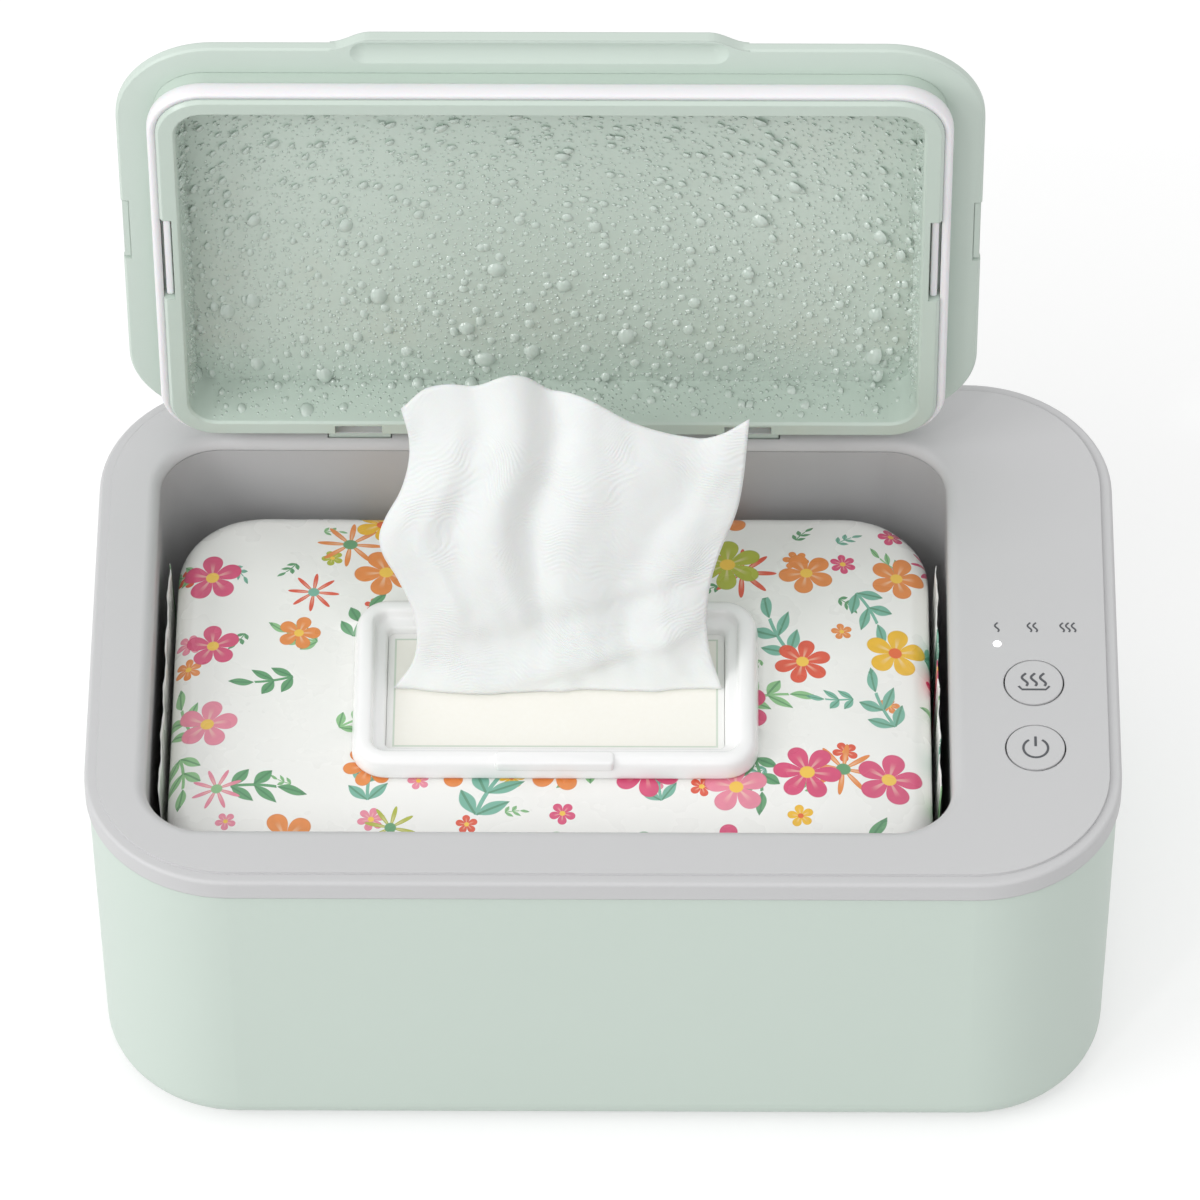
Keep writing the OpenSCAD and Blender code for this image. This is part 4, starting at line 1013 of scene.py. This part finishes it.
def ribbon_path(points, width):
    """Flat band of a width along points in the XY plane, as verts and faces with a thickness."""
    verts, faces = [], []
    count = len(points)
    for k, p in enumerate(points):
        a, b = points[max(k - 1, 0)], points[min(k + 1, count - 1)]
        along = (b - a).normalized()
        side = Vector((-along.y, along.x, 0)) * width / 2
        for s, z in ((1, 0), (-1, 0), (-1, MARK_T), (1, MARK_T)):
            verts.append(p + s * side + Vector((0, 0, z)))
    for k in range(count - 1):
        a, b = 4 * k, 4 * (k + 1)
        for m in range(4):
            q = (m + 1) % 4
            faces.append((a + m, a + q, b + q, b + m))
    faces += [(3, 2, 1, 0), tuple(4 * (count - 1) + m for m in range(4))]
    return verts, faces


def put_marks(name, bands, body):
    """Joins bands into one printed piece that lies on the panel or on a cap."""
    verts, faces = [], []
    for points, width in bands:
        v, f = ribbon_path(points, width)
        faces += [tuple(len(verts) + q for q in face) for face in f]
        verts += v
    obj = outward(new_object(name, verts, faces, [mark_ink], smooth=False))
    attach(obj, body)


def heat_wave(x, y, z, height, swing):
    """An S-shaped wave that stands for heat."""
    return [Vector((x + swing * math.sin(2 * math.pi * (s / 16) + 0.5), y + height * (s / 16 - 0.5), z))
            for s in range(17)]


def ring_arc(x, y, z, r, a0, a1, steps=48):
    angles = [a0 + (a1 - a0) * k / steps for k in range(steps + 1)]
    return [Vector((x + r * math.cos(a), y + r * math.sin(a), z)) for a in angles]


def build_marks():
    z = CAP_TOP + MARK_LIFT
    x, y = HEAT_AT.x, HEAT_AT.y
    waves = [(heat_wave(x + k * 2.3 * MM, y + 0.9 * MM, z, 4.2 * MM, 0.7 * MM), STROKE) for k in (-1, 0, 1)]
    tray = [Vector((x + dx * MM, y + dy * MM, z)) for dx, dy in
            ((-3.9, -1.3), (-3.0, -2.4), (3.0, -2.4), (3.9, -1.3))]
    put_marks("heat_icon", waves + [(tray, STROKE * 0.9)], "heat_button")
    x, y = POWER_AT.x, POWER_AT.y
    gap = math.radians(32)
    ring = ring_arc(x, y - 0.2 * MM, z, 3.1 * MM, math.pi / 2 + gap, math.pi * 2.5 - gap)
    bar = [Vector((x, y + 3.6 * MM, z)), Vector((x, y + 0.4 * MM, z))]
    put_marks("power_icon", [(ring, STROKE * 0.95), (bar, STROKE * 1.05)], "power_button")
    z = bezel_top + MARK_LIFT
    levels = []
    for count in (1, 2, 3):
        for k in range(count):
            x = HEAT_AT.x + (count - 2) * LEVEL_PITCH + (k - (count - 1) / 2) * WAVE_PITCH
            levels.append((heat_wave(x, 0.0, z, 3.1 * MM, 0.5 * MM), LEVEL_STROKE))
    put_marks("level_icons", levels, "root")


def build_lamp():
    """The lit lamp: a small disc that glows through the bezel."""
    lo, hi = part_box("light_pipes")
    x, y = lo.x + (hi.y - lo.y) / 2, (lo.y + hi.y) / 2
    rings = []
    for r, z in LAMP_SECTION:
        rings.append([Vector((x + r * MM * math.cos(a), y + r * MM * math.sin(a), bezel_top + z * MM))
                      for a in (2 * math.pi * k / 32 for k in range(32))])
    lamp = loft("lit_lamp", rings, [lamp_glow()])
    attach(lamp, "root")


build_marks()
build_lamp()


# ------------------------------------------------------------------ stage and light
WORLD_LEVEL = 0.76               # how bright the white surroundings light the object
FLOOR_GLOW = 0.46                # lifts the floor to white in the picture, but lights nothing
FLOOR_GREY = (0.62, 0.62, 0.62, 1)
FLOOR_HALF = 6.0
# name, place, target, diameter and power of each lamp
LAMPS = (("key", (-2.3, -1.2, 1.55), (0, 0, 0.08), 1.8, 31),
         ("front", (-0.3, -2.3, 2.0), (0, 0, 0.10), 2.0, 7.5),
         ("spark", (-1.0, -1.7, 2.3), (0, 0, 0.10), 0.24, 5))


def directly_seen(t):
    """1 for rays that the viewer sees directly, in a gloss or through water, and 0 for lighting."""
    path = t.add("ShaderNodeLightPath").outputs
    return t.math("MAXIMUM", path["Is Camera Ray"],
                  t.math("MAXIMUM", path["Is Glossy Ray"], path["Is Transmission Ray"]))


def floor():
    mat, t, bsdf = material("floor")
    out = mat.node_tree.nodes["Material Output"]
    t.fill(bsdf, {"Base Color": FLOOR_GREY, "Roughness": 0.9, "Specular IOR Level": 0.0})
    glow = t.fill(t.add("ShaderNodeEmission"), {"Strength": t.times(directly_seen(t), FLOOR_GLOW)})
    both = t.add("ShaderNodeAddShader")
    t.link(bsdf.outputs[0], both.inputs[0])
    t.link(glow.outputs[0], both.inputs[1])
    t.link(both.outputs[0], out.inputs["Surface"])
    far = FLOOR_HALF
    plane = new_object("floor", [(-far, -far, 0), (far, -far, 0), (far, far, 0), (-far, far, 0)],
                       [(0, 1, 2, 3)], [mat], smooth=False)


def world():
    w = bpy.data.worlds.new("studio")
    bpy.context.scene.world = w
    w.use_nodes = True
    t = Tree(w.node_tree)
    t.fill(w.node_tree.nodes["Background"], {
        "Color": WHITE, "Strength": t.plus(WORLD_LEVEL, t.times(directly_seen(t), 1.0 - WORLD_LEVEL))})


def area_light(name, place, target, size, power):
    data = bpy.data.lights.new(name, "AREA")
    data.shape = "DISK"
    data.size = size
    data.energy = power
    light = bpy.data.objects.new(name, data)
    light.location = place
    light.rotation_euler = (Vector(target) - Vector(place)).to_track_quat("-Z", "Y").to_euler()
    bpy.context.scene.collection.objects.link(light)


floor()
world()
for lamp in LAMPS:
    area_light(*lamp)

bpy.context.scene.view_settings.view_transform = "Standard"
